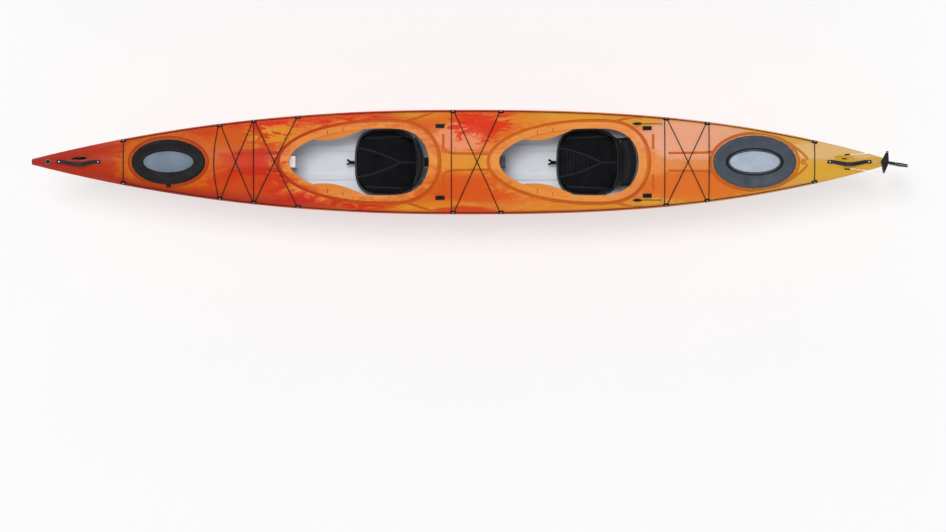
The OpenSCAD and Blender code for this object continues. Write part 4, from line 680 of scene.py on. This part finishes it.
def across(xa, sa, xb, sb, bow=0.0, arch=0.0):
    """A cord's path over the deck between the gunwales, bowed along the boat or arched over its twin."""
    ya = sa * (half_breadth(xa) - bevel_inset(xa, CORD_INSET))
    yb = sb * (half_breadth(xb) - bevel_inset(xb, CORD_INSET))
    path = []
    for k in range(CORD_POINTS + 1):
        t = k / CORD_POINTS
        x = xa + (xb - xa) * t + bow * math.sin(math.pi * t)
        y = ya + (yb - ya) * t
        hump = arch * max(0.0, 1 - (abs(y) / ARCH_REACH) ** 2) ** 2
        path.append(deck_point(x, y, CORD_LIFT) + Vector((0, 0, hump)))
    return smoothed(path, rounds=2)


def straight(place, offset, bow=0.0):
    """A cord straight across at a pair of fittings, or a little off it."""
    x = FITTINGS[place] + offset
    return across(x, 1, x, -1, bow)


def crossed(place):
    """Two cords between neighbouring pairs of fittings, one arched over the other where they cross."""
    xa = FITTINGS[place] + CORD_SPREAD
    xb = FITTINGS[place + 1] - CORD_SPREAD
    return [across(xa, 1, xb, -1), across(xa, -1, xb, 1, arch=CORD_ARCH)]


CORD_GROUPS = {
    "fore_cords": [straight(1, -CORD_SPREAD, FORE_BOW), *crossed(1), straight(2, 0.0), *crossed(2)],
    "middle_cords": [straight(4, -CORD_SPREAD), *crossed(4)],
    "aft_cords": [straight(6, -CORD_SPREAD), *crossed(6), straight(7, CORD_SPREAD)],
    "end_lines": [straight(0, 0.0), straight(8, 0.0)]}
for node, runs in CORD_GROUPS.items():
    for number, path in enumerate(runs, 1):
        cord_piece(f"{node}_{number}", path, CORD_RADIUS, node)

LINE_RADIUS = 0.0025
LINE_LIFT = 0.0045
LINE_INSET = 0.014
LINE_POINTS = 72
CLEAT_X, CLEAT_Y = 1.12, 0.24
CLEAT_FROM = 0.0325
CLEAT_TO = 0.144
CLEAT_POINTS = 15
CLEAT_LIFT = 0.003
CLEAT_RADIUS = 0.002
for side, word in SIDES:
    path = []
    for x in [FITTINGS[0] + (FITTINGS[-1] - FITTINGS[0]) * k / LINE_POINTS for k in range(LINE_POINTS + 1)]:
        path.append(deck_point(x, side * (half_breadth(x) - bevel_inset(x, LINE_INSET)), LINE_LIFT))
    cord_piece(f"gunwale_line_{word}", smoothed(path, rounds=2), LINE_RADIUS, f"perimeter_line_{word}")
for side, word in SIDES:
    places = [
        CLEAT_X + CLEAT_FROM + (CLEAT_TO - CLEAT_FROM) * k / CLEAT_POINTS for k in range(CLEAT_POINTS + 1)]
    path = smoothed([deck_point(x, side * CLEAT_Y, CLEAT_LIFT) for x in places], rounds=2)
    cord_piece(f"cleat_cord_{word}", path, CLEAT_RADIUS, "cleat_cords")


# Bulkheads, pillars and seat tracks. Foam blocks stand from floor to deck, white in front and dark amidships.
# The bulkheads close off the holds, and the moulded tracks carry the seats.

# Two tones of one colour that drift into each other over a surface
tone_drift, given, out = group(
    "tone_drift", [("First", "Color"), ("Second", "Color"), ("Scale", "Float")], [("Color", "Color")])
drift = noise(tone_drift, own_place(tone_drift), given["Scale"], detail=5.0)
spread = mapped(tone_drift, drift, 0.35, 0.65)
tone_drift.links.new(mixed(tone_drift, spread, given["First"], given["Second"]), out["Color"])


def finish_of(name, first, second, drift, grain, depth, smooth, rough, metallic=0.0, shine=0.3):
    """A moulded or metal finish: two tones that drift, and a fine skin."""
    made, tree, shader = material(name)
    tone = put_group(tree, tone_drift, {"First": first, "Second": second, "Scale": drift})
    tree.links.new(tone["Color"], shader.inputs["Base Color"])
    grained(tree, shader, grain, depth, smooth, rough)
    shader.inputs["Metallic"].default_value = metallic
    shader.inputs["Specular IOR Level"].default_value = shine
    return made


def coat(paint, *names):
    """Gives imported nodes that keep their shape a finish."""
    for name in names:
        nodes[name].data.materials.clear()
        nodes[name].data.materials.append(paint)


FOAM = {"drift": 30.0, "grain": 300.0, "depth": 0.35, "smooth": 0.75, "rough": 0.9}
white_foam = finish_of("white_foam", linear(236, 238, 242), linear(216, 220, 228), **FOAM)
dark_foam = finish_of("dark_foam", linear(70, 76, 88), linear(52, 56, 66), **FOAM)
coat(white_inside, "bow_bulkhead", "stern_bulkhead", "seat_tracks", "skeg_box")
coat(white_foam, "front_pillar")
coat(dark_foam, "middle_pillar")


# Hatches. Soft rubber covers grip a rim on the deck and peel off by hand, each with a stiff plate in its top.
# The front one is black with a pull tab; the rear one is the same rubber painted a lighter blue-grey as a
# painted sheen, with a ring pressed round its plate.

EASED_ANGLE = 40


def formed(node, name, body, slot, degrees, *paints, bevel=0.0):
    """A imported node's own form with its facets smoothed, and its edges eased if asked."""
    bm = merged(node)
    crease(bm, degrees)
    obj = bare(piece(name, bm, *paints))
    if bevel:
        eased = obj.modifiers.new("eased_edges", "BEVEL")
        eased.width = bevel
        eased.segments = 2
        eased.limit_method = "ANGLE"
        eased.angle_limit = math.radians(EASED_ANGLE)
    return stand_for(obj, body, slot, node)


RUBBER = {"drift": 18.0, "grain": 500.0, "depth": 0.15, "smooth": 0.45, "rough": 0.6}
PLATE = {"drift": 9.0, "grain": 350.0, "depth": 0.1, "smooth": 0.3, "rough": 0.45, "shine": 0.15}
black_rubber = finish_of("black_rubber", linear(14, 14, 16), linear(24, 23, 24), **RUBBER, shine=0.1)
# The rear cover's rubber, painted a lighter blue-grey than the black: a painted sheen
sheen_painted_rubber = finish_of("sheen_painted_rubber", linear(56, 63, 73), linear(66, 73, 83), **RUBBER, shine=0.2)
plate_front = finish_of("plate_front", linear(102, 116, 132), linear(116, 130, 146), **PLATE)
plate_rear = finish_of("plate_rear", linear(160, 171, 187), linear(178, 188, 202), **PLATE)
black_plastic = finish_of(
    "black_plastic", linear(13, 13, 15), linear(22, 22, 25),
    drift=25.0, grain=600.0, depth=0.2, smooth=0.35, rough=0.52, shine=0.12)

formed("bow_hatch_cover", "bow_cover", "bow_hatch", "hatch_rubber", 30, black_rubber)
formed("stern_hatch_cover", "stern_cover", "stern_hatch", "stern_rubber", 30, sheen_painted_rubber)
formed("bow_hatch_plate", "bow_plate", "bow_hatch", "hatch_plate", 40, plate_front)
formed("stern_hatch_plate", "stern_plate", "stern_hatch", "hatch_plate", 40, plate_rear)
coat(black_plastic, "bow_hatch_rim", "stern_hatch_rim")


def bead(name, middle, reach, radius, steps, paint, body, slot):
    """A round bead laid as an oval: a circle spun round a middle and drawn out along the boat."""
    bm = bmesh.new()
    ring = bmesh.ops.create_circle(bm, cap_ends=False, radius=radius, segments=10)["verts"]
    upright = Matrix.Translation((reach.y, 0, 0)) @ Matrix.Rotation(math.pi / 2, 4, "X")
    bmesh.ops.transform(bm, matrix=upright, verts=ring)
    bmesh.ops.spin(bm, geom=bm.edges[:], cent=(0, 0, 0), axis=(0, 0, 1), angle=2 * math.pi, steps=steps,
        use_merge=True)
    bmesh.ops.remove_doubles(bm, verts=bm.verts, dist=1e-6)
    bmesh.ops.scale(bm, vec=(reach.x / reach.y, 1, 1), verts=bm.verts)
    bmesh.ops.translate(bm, vec=middle, verts=bm.verts)
    bmesh.ops.recalc_face_normals(bm, faces=bm.faces)
    crease(bm, 60)
    stand_for(piece(name, bm, paint), body, slot)


COVER_BEAD = 0.004
COVER_BEAD_ROOM = 0.017
COVER_BEAD_SHARE = 0.3
lo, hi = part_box("stern_hatch_plate")
middle = ((lo.x + hi.x) / 2, 0, lo.z + COVER_BEAD * COVER_BEAD_SHARE)
reach = (hi - lo) / 2 + Vector((COVER_BEAD_ROOM, COVER_BEAD_ROOM, 0))
bead("stern_cover_ring", middle, reach, COVER_BEAD, 72, black_rubber, "stern_hatch", "hatch_rubber")

TAB_SIZE = (0.03, 0.022, 0.005)
TAB_OUT = 0.006
TAB_LIFT = 0.012
TAB_ROUND = 0.0018
lo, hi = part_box("bow_hatch_cover")
bm = bmesh.new()
block(bm, TAB_SIZE, ((lo.x + hi.x) / 2, lo.y - TAB_OUT, lo.z + TAB_LIFT))
bmesh.ops.bevel(bm, geom=bm.edges[:], offset=TAB_ROUND, segments=2, profile=0.5, affect="EDGES", material=-1)
crease(bm, 40)
stand_for(piece("bow_cover_tab", bm, black_rubber), "bow_hatch", "hatch_rubber")


# Seats. A black moulded pan on the tracks holds a padded fabric cushion with sewn channels.
# The backrest is a curved shell on a steel rod, with a padded face, and folds forward.

# Threads over and under each other, as a mask and a normal
weave, given, out = group(
    "weave", [("Scale", "Float"), ("Depth", "Float")], [("Thread", "Float"), ("Normal", "Vector")])
place = own_place(weave)
warp, weft = [
    add(weave, "ShaderNodeTexWave", {"Vector": place, "Scale": given["Scale"]}, bands_direction=way)
    for way in ("X", "Y")]
thread = product(weave, warp.outputs["Fac"], weft.outputs["Fac"])
cloth_bump = add(weave, "ShaderNodeBump", {"Strength": given["Depth"], "Distance": 0.0012, "Height": thread})
weave.links.new(thread, out["Thread"])
weave.links.new(cloth_bump.outputs[0], out["Normal"])

SEAM_THREAD = linear(50, 53, 60)


def cloth_of(name, first, second, scale, depth):
    """A woven fabric: dark between its threads, paler along its seams, with a soft sheen."""
    made, tree, shader = material(name)
    woven = put_group(tree, weave, {"Scale": scale, "Depth": depth})
    tone = put_group(tree, tone_drift, {"First": first, "Second": second, "Scale": 12.0})
    sewn = add(tree, "ShaderNodeAttribute", attribute_name="seam").outputs["Fac"]
    cloth = mixed(tree, woven["Thread"], tone["Color"], second)
    tree.links.new(mixed(tree, sewn, cloth, SEAM_THREAD), shader.inputs["Base Color"])
    tree.links.new(woven["Normal"], shader.inputs["Normal"])
    shader.inputs["Roughness"].default_value = 0.82
    shader.inputs["Specular IOR Level"].default_value = 0.1
    shader.inputs["Sheen Weight"].default_value = 0.05
    return made


seat_cloth = cloth_of("seat_cloth", linear(9, 10, 12), linear(22, 23, 27), scale=130.0, depth=0.5)
webbing = cloth_of("webbing", linear(10, 10, 11), linear(22, 22, 24), scale=160.0, depth=0.6)
pan_plastic = finish_of(
    "pan_plastic", linear(18, 20, 24), linear(28, 31, 36),
    drift=20.0, grain=500.0, depth=0.2, smooth=0.32, rough=0.5, shine=0.2)
steel = finish_of(
    "brushed_steel", linear(196, 198, 202), linear(172, 175, 180),
    drift=60.0, grain=900.0, depth=0.15, smooth=0.22, rough=0.38, metallic=1.0)

VOXEL = 0.005
SHRINK = 0.002
SWELL_FRAMES = 20
SWELL_FORCE = 4
SWELL_LIMIT = 0.004


def stuffed(node, name, fixed_below=-math.inf):
    """A padded piece: its solid remeshed, drawn in a little and blown up as cloth, held where it rests."""
    obj = bare(piece(name, merged(node)))
    remesh = obj.modifiers.new("even", "REMESH")
    remesh.mode = "VOXEL"
    remesh.voxel_size = VOXEL
    obj.data = shown(obj)
    obj.modifiers.clear()
    for vertex in obj.data.vertices:
        if vertex.co.z > fixed_below:
            vertex.co -= vertex.normal * SHRINK
    rest = [v.co.copy() for v in obj.data.vertices]
    cloth = obj.modifiers.new("swell", "CLOTH")
    cloth.settings.use_pressure = True
    cloth.settings.uniform_pressure_force = SWELL_FORCE
    cloth.settings.effector_weights.gravity = 0
    cloth.settings.quality = 4
    cloth.point_cache.frame_start = 1
    cloth.point_cache.frame_end = SWELL_FRAMES
    for step in range(1, SWELL_FRAMES + 1):
        scene.frame_set(step)
    blown = obj.evaluated_get(bpy.context.evaluated_depsgraph_get()).to_mesh()
    moved = [v.co.copy() for v in blown.vertices]
    obj.modifiers.clear()
    scene.frame_set(1)
    for vertex, old, new in zip(obj.data.vertices, rest, moved):
        shift = new - old
        limit = SWELL_LIMIT if old.z > fixed_below else 0.0
        vertex.co = old + shift * min(1.0, limit / max(shift.length, 1e-9))
    return obj


def padded_piece(obj, body, node):
    """Finishes a padded piece: smooth, subdivided once, in its fabric."""
    for polygon in obj.data.polygons:
        polygon.use_smooth = True
    obj.data.materials.append(seat_cloth)
    finer = obj.modifiers.new("finer", "SUBSURF")
    finer.levels = 1
    finer.render_levels = 1
    stand_for(obj, body, "seat_fabric", node)


SEATS = {"front": -0.668, "rear": 0.61}
SEAT_LENGTH = 0.4
CUSHION_BASE = 0.045
TOP_FACING = 0.4
CHANNEL_DEPTH = 0.0075
CHANNEL_WIDTH = 0.0075
CHANNEL_SPREAD = 0.092
CHANNEL_JOIN = 0.72
CHANNEL_CURVE = 1.6
SIDE_SEAM = 0.150
SIDE_FLARE = 0.018
RIB_PITCH = 0.022
RIB_FROM = 0.1
RIB_TO = 0.5
RIB_ROOM = 0.008
RIB_RELIEF = 0.35


def channel_press(s, y, ribs):
    """How deep the stitching draws the cushion down: channels that meet aft, side seams and cross ribs."""
    line = CHANNEL_SPREAD * (1 - min(1.0, s / CHANNEL_JOIN) ** CHANNEL_CURVE)
    depth = math.exp(-(((abs(y) - line) / CHANNEL_WIDTH) ** 2))
    depth = max(depth, math.exp(-(((abs(y) - SIDE_SEAM - SIDE_FLARE * s) / CHANNEL_WIDTH) ** 2)))
    if ribs and RIB_FROM < s < RIB_TO and abs(y) < line - RIB_ROOM:
        depth = max(depth, 0.5 + 0.5 * math.cos(2 * math.pi * s * SEAT_LENGTH / RIB_PITCH) - RIB_RELIEF)
    return CHANNEL_DEPTH * depth


for word, seat_x in SEATS.items():
    formed(f"{word}_seat_pan", f"{word}_pan", "boat", "black_plastic", 32, pan_plastic)
    lo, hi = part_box(f"{word}_seat_cushion")
    cushion = stuffed(f"{word}_seat_cushion", f"{word}_cushion", lo.z + CUSHION_BASE)
    seam = cushion.data.attributes.new("seam", "FLOAT", "POINT")
    for vertex in cushion.data.vertices:
        if vertex.normal.z > TOP_FACING:
            s = (vertex.co.x - seat_x) / SEAT_LENGTH
            drawn = channel_press(s, vertex.co.y, word == "rear")
            vertex.co.z -= drawn
            seam.data[vertex.index].value = (drawn / CHANNEL_DEPTH) ** 2
    padded_piece(cushion, "boat", f"{word}_seat_cushion")
    formed(
        f"{word}_backrest_shell", f"{word}_back_shell", f"{word}_backrest", "black_plastic", 32, pan_plastic,
        bevel=0.0015)
    pad = stuffed(f"{word}_backrest_pad", f"{word}_back_pad")
    padded_piece(pad, f"{word}_backrest", f"{word}_backrest_pad")
coat(black_plastic, "hinge_rods")

# A dark fabric sheet closes the gap from the pan's rim up to the backrest, and wraps forward past its sides:
# mostly painted shade, the shadow behind the seat, and partly the seat's black sides
SHADE_SKIRT_ACROSS = 32
SHADE_SKIRT_RISE = 8
SHADE_SKIRT_THICK = 0.002
SHADE_SKIRT_SAG = 0.005
BACK_HINGES = {"front": (-0.252, 4), "rear": (1.026, 20)}
HINGE_HEIGHT = 0.1023
BACK_ARC = 0.256
BACK_LOW = 0.059
BACK_WRAP = 33
BACK_SHARE = 0.7
WING_RISE = 0.085
RIM_SWEEP = 78
RIM_AHEAD = 0.05
RIM_BELOW = 0.001
RIM_OUT = 0.002
RIM_UP = 0.0025
BLEND_AHEAD = 0.02
for word, (hinge_x, lean) in BACK_HINGES.items():
    pan_bm = merged(f"{word}_seat_pan")
    pan_surface = BVHTree.FromBMesh(pan_bm)
    rim_height = max(v.co.z for v in pan_bm.verts if v.co.x < hinge_x - RIM_AHEAD)
    pan_bm.free()
    middle = Vector((SEATS[word] + SEAT_LENGTH / 2, 0, rim_height - RIM_BELOW))
    leaning = Matrix.Translation((hinge_x, 0, HINGE_HEIGHT)) @ Matrix.Rotation(math.radians(lean), 4, "Y")
    bm = bmesh.new()
    bmesh.ops.create_grid(bm, x_segments=SHADE_SKIRT_ACROSS, y_segments=SHADE_SKIRT_RISE, size=1)
    for vertex in bm.verts:
        u, v = vertex.co.x, (vertex.co.y + 1) / 2
        angle = math.radians(RIM_SWEEP * u)
        outward = Vector((math.cos(angle), math.sin(angle), 0))
        bottom = pan_surface.ray_cast(middle, outward)[0] + outward * RIM_OUT + Vector((0, 0, RIM_UP))
        turn = math.radians(BACK_WRAP) * max(-1.0, min(1.0, u / BACK_SHARE))
        rise = BACK_LOW + WING_RISE * max(0.0, abs(u) - BACK_SHARE) / (1 - BACK_SHARE)
        top = leaning @ Vector((BACK_ARC * (math.cos(turn) - 1), BACK_ARC * math.sin(turn), rise))
        vertex.co = bottom.lerp(top, v) - outward * (SHADE_SKIRT_SAG * math.sin(math.pi * v))
    cut = sum(face.calc_area() for face in bm.faces)
    bmesh.ops.recalc_face_normals(bm, faces=bm.faces)
    bmesh.ops.solidify(bm, geom=bm.faces[:], thickness=SHADE_SKIRT_THICK)
    bmesh.ops.recalc_face_normals(bm, faces=bm.faces)
    crease(bm, 60)
    shade_skirt = piece(f"{word}_skirt", bm, seat_cloth)
    start = Vector((hinge_x - BLEND_AHEAD, 0, rim_height))
    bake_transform(shade_skirt)

# A webbing tongue with two tails at each seat's front edge, and a tongue behind the front backrest:
# strips that droop a little to their ends, given as length, width and droop
STRAP_THICK = 0.0025
PULL_STRIP = (0.024, 0.02, 0.0)
PULL_GAP = 0.0005
TAIL_STRIP = (0.034, 0.012, 0.006)
TAIL_TURNS = (-32, 24)
TAIL_AHEAD = 0.02
BACK_STRIP = (0.034, 0.058, 0.006)
BACK_STRIP_IN = 0.004
BACK_STRIP_DOWN = 0.03


def strap(bm, start, heading, length, width, droop):
    """A flat strip from a start along a heading, which droops towards its end."""
    made = bmesh.ops.create_grid(bm, x_segments=10, y_segments=2, size=0.5)["verts"]
    side = Vector((-heading.y, heading.x, 0))
    for vertex in made:
        t = vertex.co.x + 0.5
        over = start + heading * (t * length) + side * (vertex.co.y * width)
        vertex.co = over - Vector((0, 0, droop * t * t))


def strap_piece(name, bm, body, *replaced):
    """Finishes flat strips as webbing of one thickness."""
    obj = piece(name, bm, webbing)
    thick = obj.modifiers.new("thick", "SOLIDIFY")
    thick.thickness = STRAP_THICK
    thick.offset = 0
    stand_for(obj, body, "webbing", *replaced)


lo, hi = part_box("seat_pulls")
for word, seat_x in SEATS.items():
    bm = bmesh.new()
    top = Vector((seat_x - PULL_GAP, 0, hi.z - STRAP_THICK / 2))
    strap(bm, top, Vector((-1, 0, 0)), *PULL_STRIP)
    for turn in TAIL_TURNS:
        angle = math.radians(180 + turn)
        heading = Vector((math.cos(angle), math.sin(angle), 0))
        strap(bm, top - Vector((TAIL_AHEAD, 0, 0)), heading, *TAIL_STRIP)
    strap_piece(f"{word}_pull", bm, "boat", "seat_pulls")
lo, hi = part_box("front_backrest_shell")
bm = bmesh.new()
strap(bm, Vector((hi.x - BACK_STRIP_IN, 0, hi.z - BACK_STRIP_DOWN)), Vector((1, 0, 0)), *BACK_STRIP)
strap_piece("front_back_tongue", bm, "front_backrest")


# Foot braces. Black rails are bolted through the hull's sides, and ribbed pedals slide along them.
# The rear pair ride on metal bars that pull the rudder's cables.

slider_metal = finish_of(
    "slider_metal", linear(188, 190, 194), linear(168, 171, 176),
    drift=40.0, grain=800.0, depth=0.15, smooth=0.28, rough=0.42, metallic=1.0)
for _, word in SIDES:
    coat(black_plastic, *[f"{seat}_{kind}_{word}" for seat in SEATS for kind in ("rail", "pedal")])
    coat(slider_metal, f"slider_{word}")
coat(steel, "rail_bolts")


# Deck hardware. Black moulded fittings are screwed to the bevel, and carry handles arch between two screws.
# The bow eye stands on a round base in a grey ring, and strap anchors and cleats lie behind the cockpits.

stud_plastic = finish_of(
    "stud_plastic", linear(150, 148, 142), linear(120, 118, 114),
    drift=50.0, grain=500.0, depth=0.15, smooth=0.4, rough=0.55)
grip_rubber = finish_of(
    "grip_rubber", linear(22, 20, 20), linear(34, 31, 31),
    drift=40.0, grain=700.0, depth=0.35, smooth=0.5, rough=0.65, shine=0.2)
coat(black_plastic, "gunwale_fittings")
coat(stud_plastic, "deck_studs")

# The screws of the fittings are steel, and those under the handles' ends, near the middle, are black
HANDLE_HALF = 0.05
screws = formed("deck_screws", "screw_heads", "boat", "steel", 30, black_plastic, steel)
for polygon in screws.data.polygons:
    polygon.material_index = 1 if abs(polygon.center.y) > HANDLE_HALF else 0

GRIP_SAG = 0.016
GRIP_SWELL = 0.003
GRIP_END = 0.026
SCREW_SIZE = (0.0045, 0.0045, 0.0018)
SCREW_INSET = 0.016
SCREW_LIFT = 0.0122
for node, name in (("bow_handle", "bow_grip"), ("stern_handle", "stern_grip")):
    lo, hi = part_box(node)
    grip = formed(node, name, "boat", "handle_strap", 30, grip_rubber, bevel=0.002)
    reach = (hi.x - lo.x) / 2 - GRIP_END
    for vertex in grip.data.vertices:
        t = min(1.0, abs(vertex.co.x - (lo.x + hi.x) / 2) / reach)
        vertex.co += vertex.normal * (GRIP_SWELL * (1 - t * t))
        vertex.co.y -= GRIP_SAG * (1 - t * t) ** 2
    bm = bmesh.new()
    for x in (lo.x + SCREW_INSET, hi.x - SCREW_INSET):
        pebble(bm, 20, SCREW_SIZE, deck_point(x, 0, 0) + Vector((0, 0, SCREW_LIFT)))
    crease(bm, 60)
    stand_for(piece(f"{name}_screws", bm, steel), "boat", "steel")
MOULDED = [("bow_eye", "bow_eye_stand", 0.001), ("strap_anchors", "strap_slots", 0.0015),
    ("cleats", "cord_cleats", 0.0015)]
for node, name, bevel in MOULDED:
    formed(node, name, "boat", "black_plastic", 30, black_plastic, bevel=bevel)

ANCHORS = [(-0.126, 0.226), (1.182, 0.212)]
FOLD_SIZE = (0.029, 0.0062, 0.004)
FOLD_LIFT = 0.0032
bm = bmesh.new()
for x, y in ANCHORS:
    for side in (-1, 1):
        block(bm, FOLD_SIZE, deck_point(x, side * y, FOLD_LIFT))
stand_for(piece("strap_folds", bm, webbing), "boat", "webbing")

EYE_BEAD = 0.0022
EYE_BEAD_IN = 0.003
EYE_BEAD_LIFT = 0.0055
lo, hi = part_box("bow_eye")
middle = ((lo.x + hi.x) / 2, 0, lo.z + EYE_BEAD_LIFT)
reach = (hi.x - lo.x) / 2 - EYE_BEAD_IN
bead("bow_eye_ring", middle, Vector((reach, reach, 0)), EYE_BEAD, 48, stud_plastic, "boat", "stud_grey")


# Skeg and keel strip. A black blade swings down from its box under the stern, on a steel pin.
# The strip under the sternpost takes the wear when the boat is dragged.

formed("skeg", "skeg_fin", "skeg_blade", "black_plastic", 30, black_plastic, bevel=0.0015)
coat(black_plastic, "keel_strip")
coat(steel, "skeg_pin")


# Rudder. A black yoke turns on a pintle at the stern, and its two cheeks hold a grey blade that lifts up.
# Bare steel cables run from the deck to its arms, and a pale line lifts the blade.

blade_metal = finish_of(
    "blade_metal", linear(174, 184, 186), linear(186, 194, 196),
    drift=10.0, grain=700.0, depth=0.1, smooth=0.4, rough=0.55)
formed("rudder_blade", "rudder_fin", "rudder_foil", "blade_grey", 30, blade_metal, bevel=0.0012)
formed("rudder_yoke", "rudder_head", "rudder", "black_plastic", 30, black_plastic, bevel=0.0012)
coat(black_plastic, "rudder_socket", "cable_bushings")
coat(steel, "blade_bolt")

pale_braid, tree, shader = material("pale_braid")
strand = add(tree, "ShaderNodeTexVoronoi", {"Vector": own_place(tree), "Scale": 500.0}).outputs["Distance"]
tree.links.new(mixed(tree, strand, linear(222, 220, 212), linear(160, 158, 150)), shader.inputs["Base Color"])
shader.inputs["Roughness"].default_value = 0.7

PINTLE = Vector((2.672, 0, 0.312566))
REST_TURN = math.radians(-10)
CABLE_RADIUS = 0.0015
CABLE_STEP = 0.012
CABLE_X, CABLE_Y = 2.46, 0.044
CABLE_LIFT = 0.0043
ARM_X, ARM_Y, ARM_Z = 0.003, 0.064, 0.0045
ARM_GAP = 0.001
UPHAUL_X = 2.602
UPHAUL_LIFT = 0.0018
UPHAUL_END = Vector((-0.019, 0, 0.0045))
UPHAUL_STEP = 0.005


def bent_cord(name, path, paint, node):
    """A thin cord from the deck to the rudder, which stands for its node."""
    bm = swept_form([(path, False)], CABLE_RADIUS)
    bmesh.ops.recalc_face_normals(bm, faces=bm.faces)
    crease(bm, 50)
    obj = piece(name, bm, paint)
    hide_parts(node)
    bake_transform(obj)


for side, word in SIDES:
    start = deck_point(CABLE_X, side * CABLE_Y, 0.0) + Vector((0, 0, CABLE_LIFT))
    arm = Vector((ARM_X, side * ARM_Y, ARM_Z))
    arm.rotate(Matrix.Rotation(REST_TURN, 3, "Z"))
    path = spaced([start, PINTLE + arm - Vector((ARM_GAP, 0, 0))], CABLE_STEP)
    bent_cord(f"steering_cable_{word}", path, steel, "rudder_cables")
path = spaced([deck_point(UPHAUL_X, 0, UPHAUL_LIFT), PINTLE + UPHAUL_END], UPHAUL_STEP)
bent_cord("uphaul", path, pale_braid, "uphaul_line")
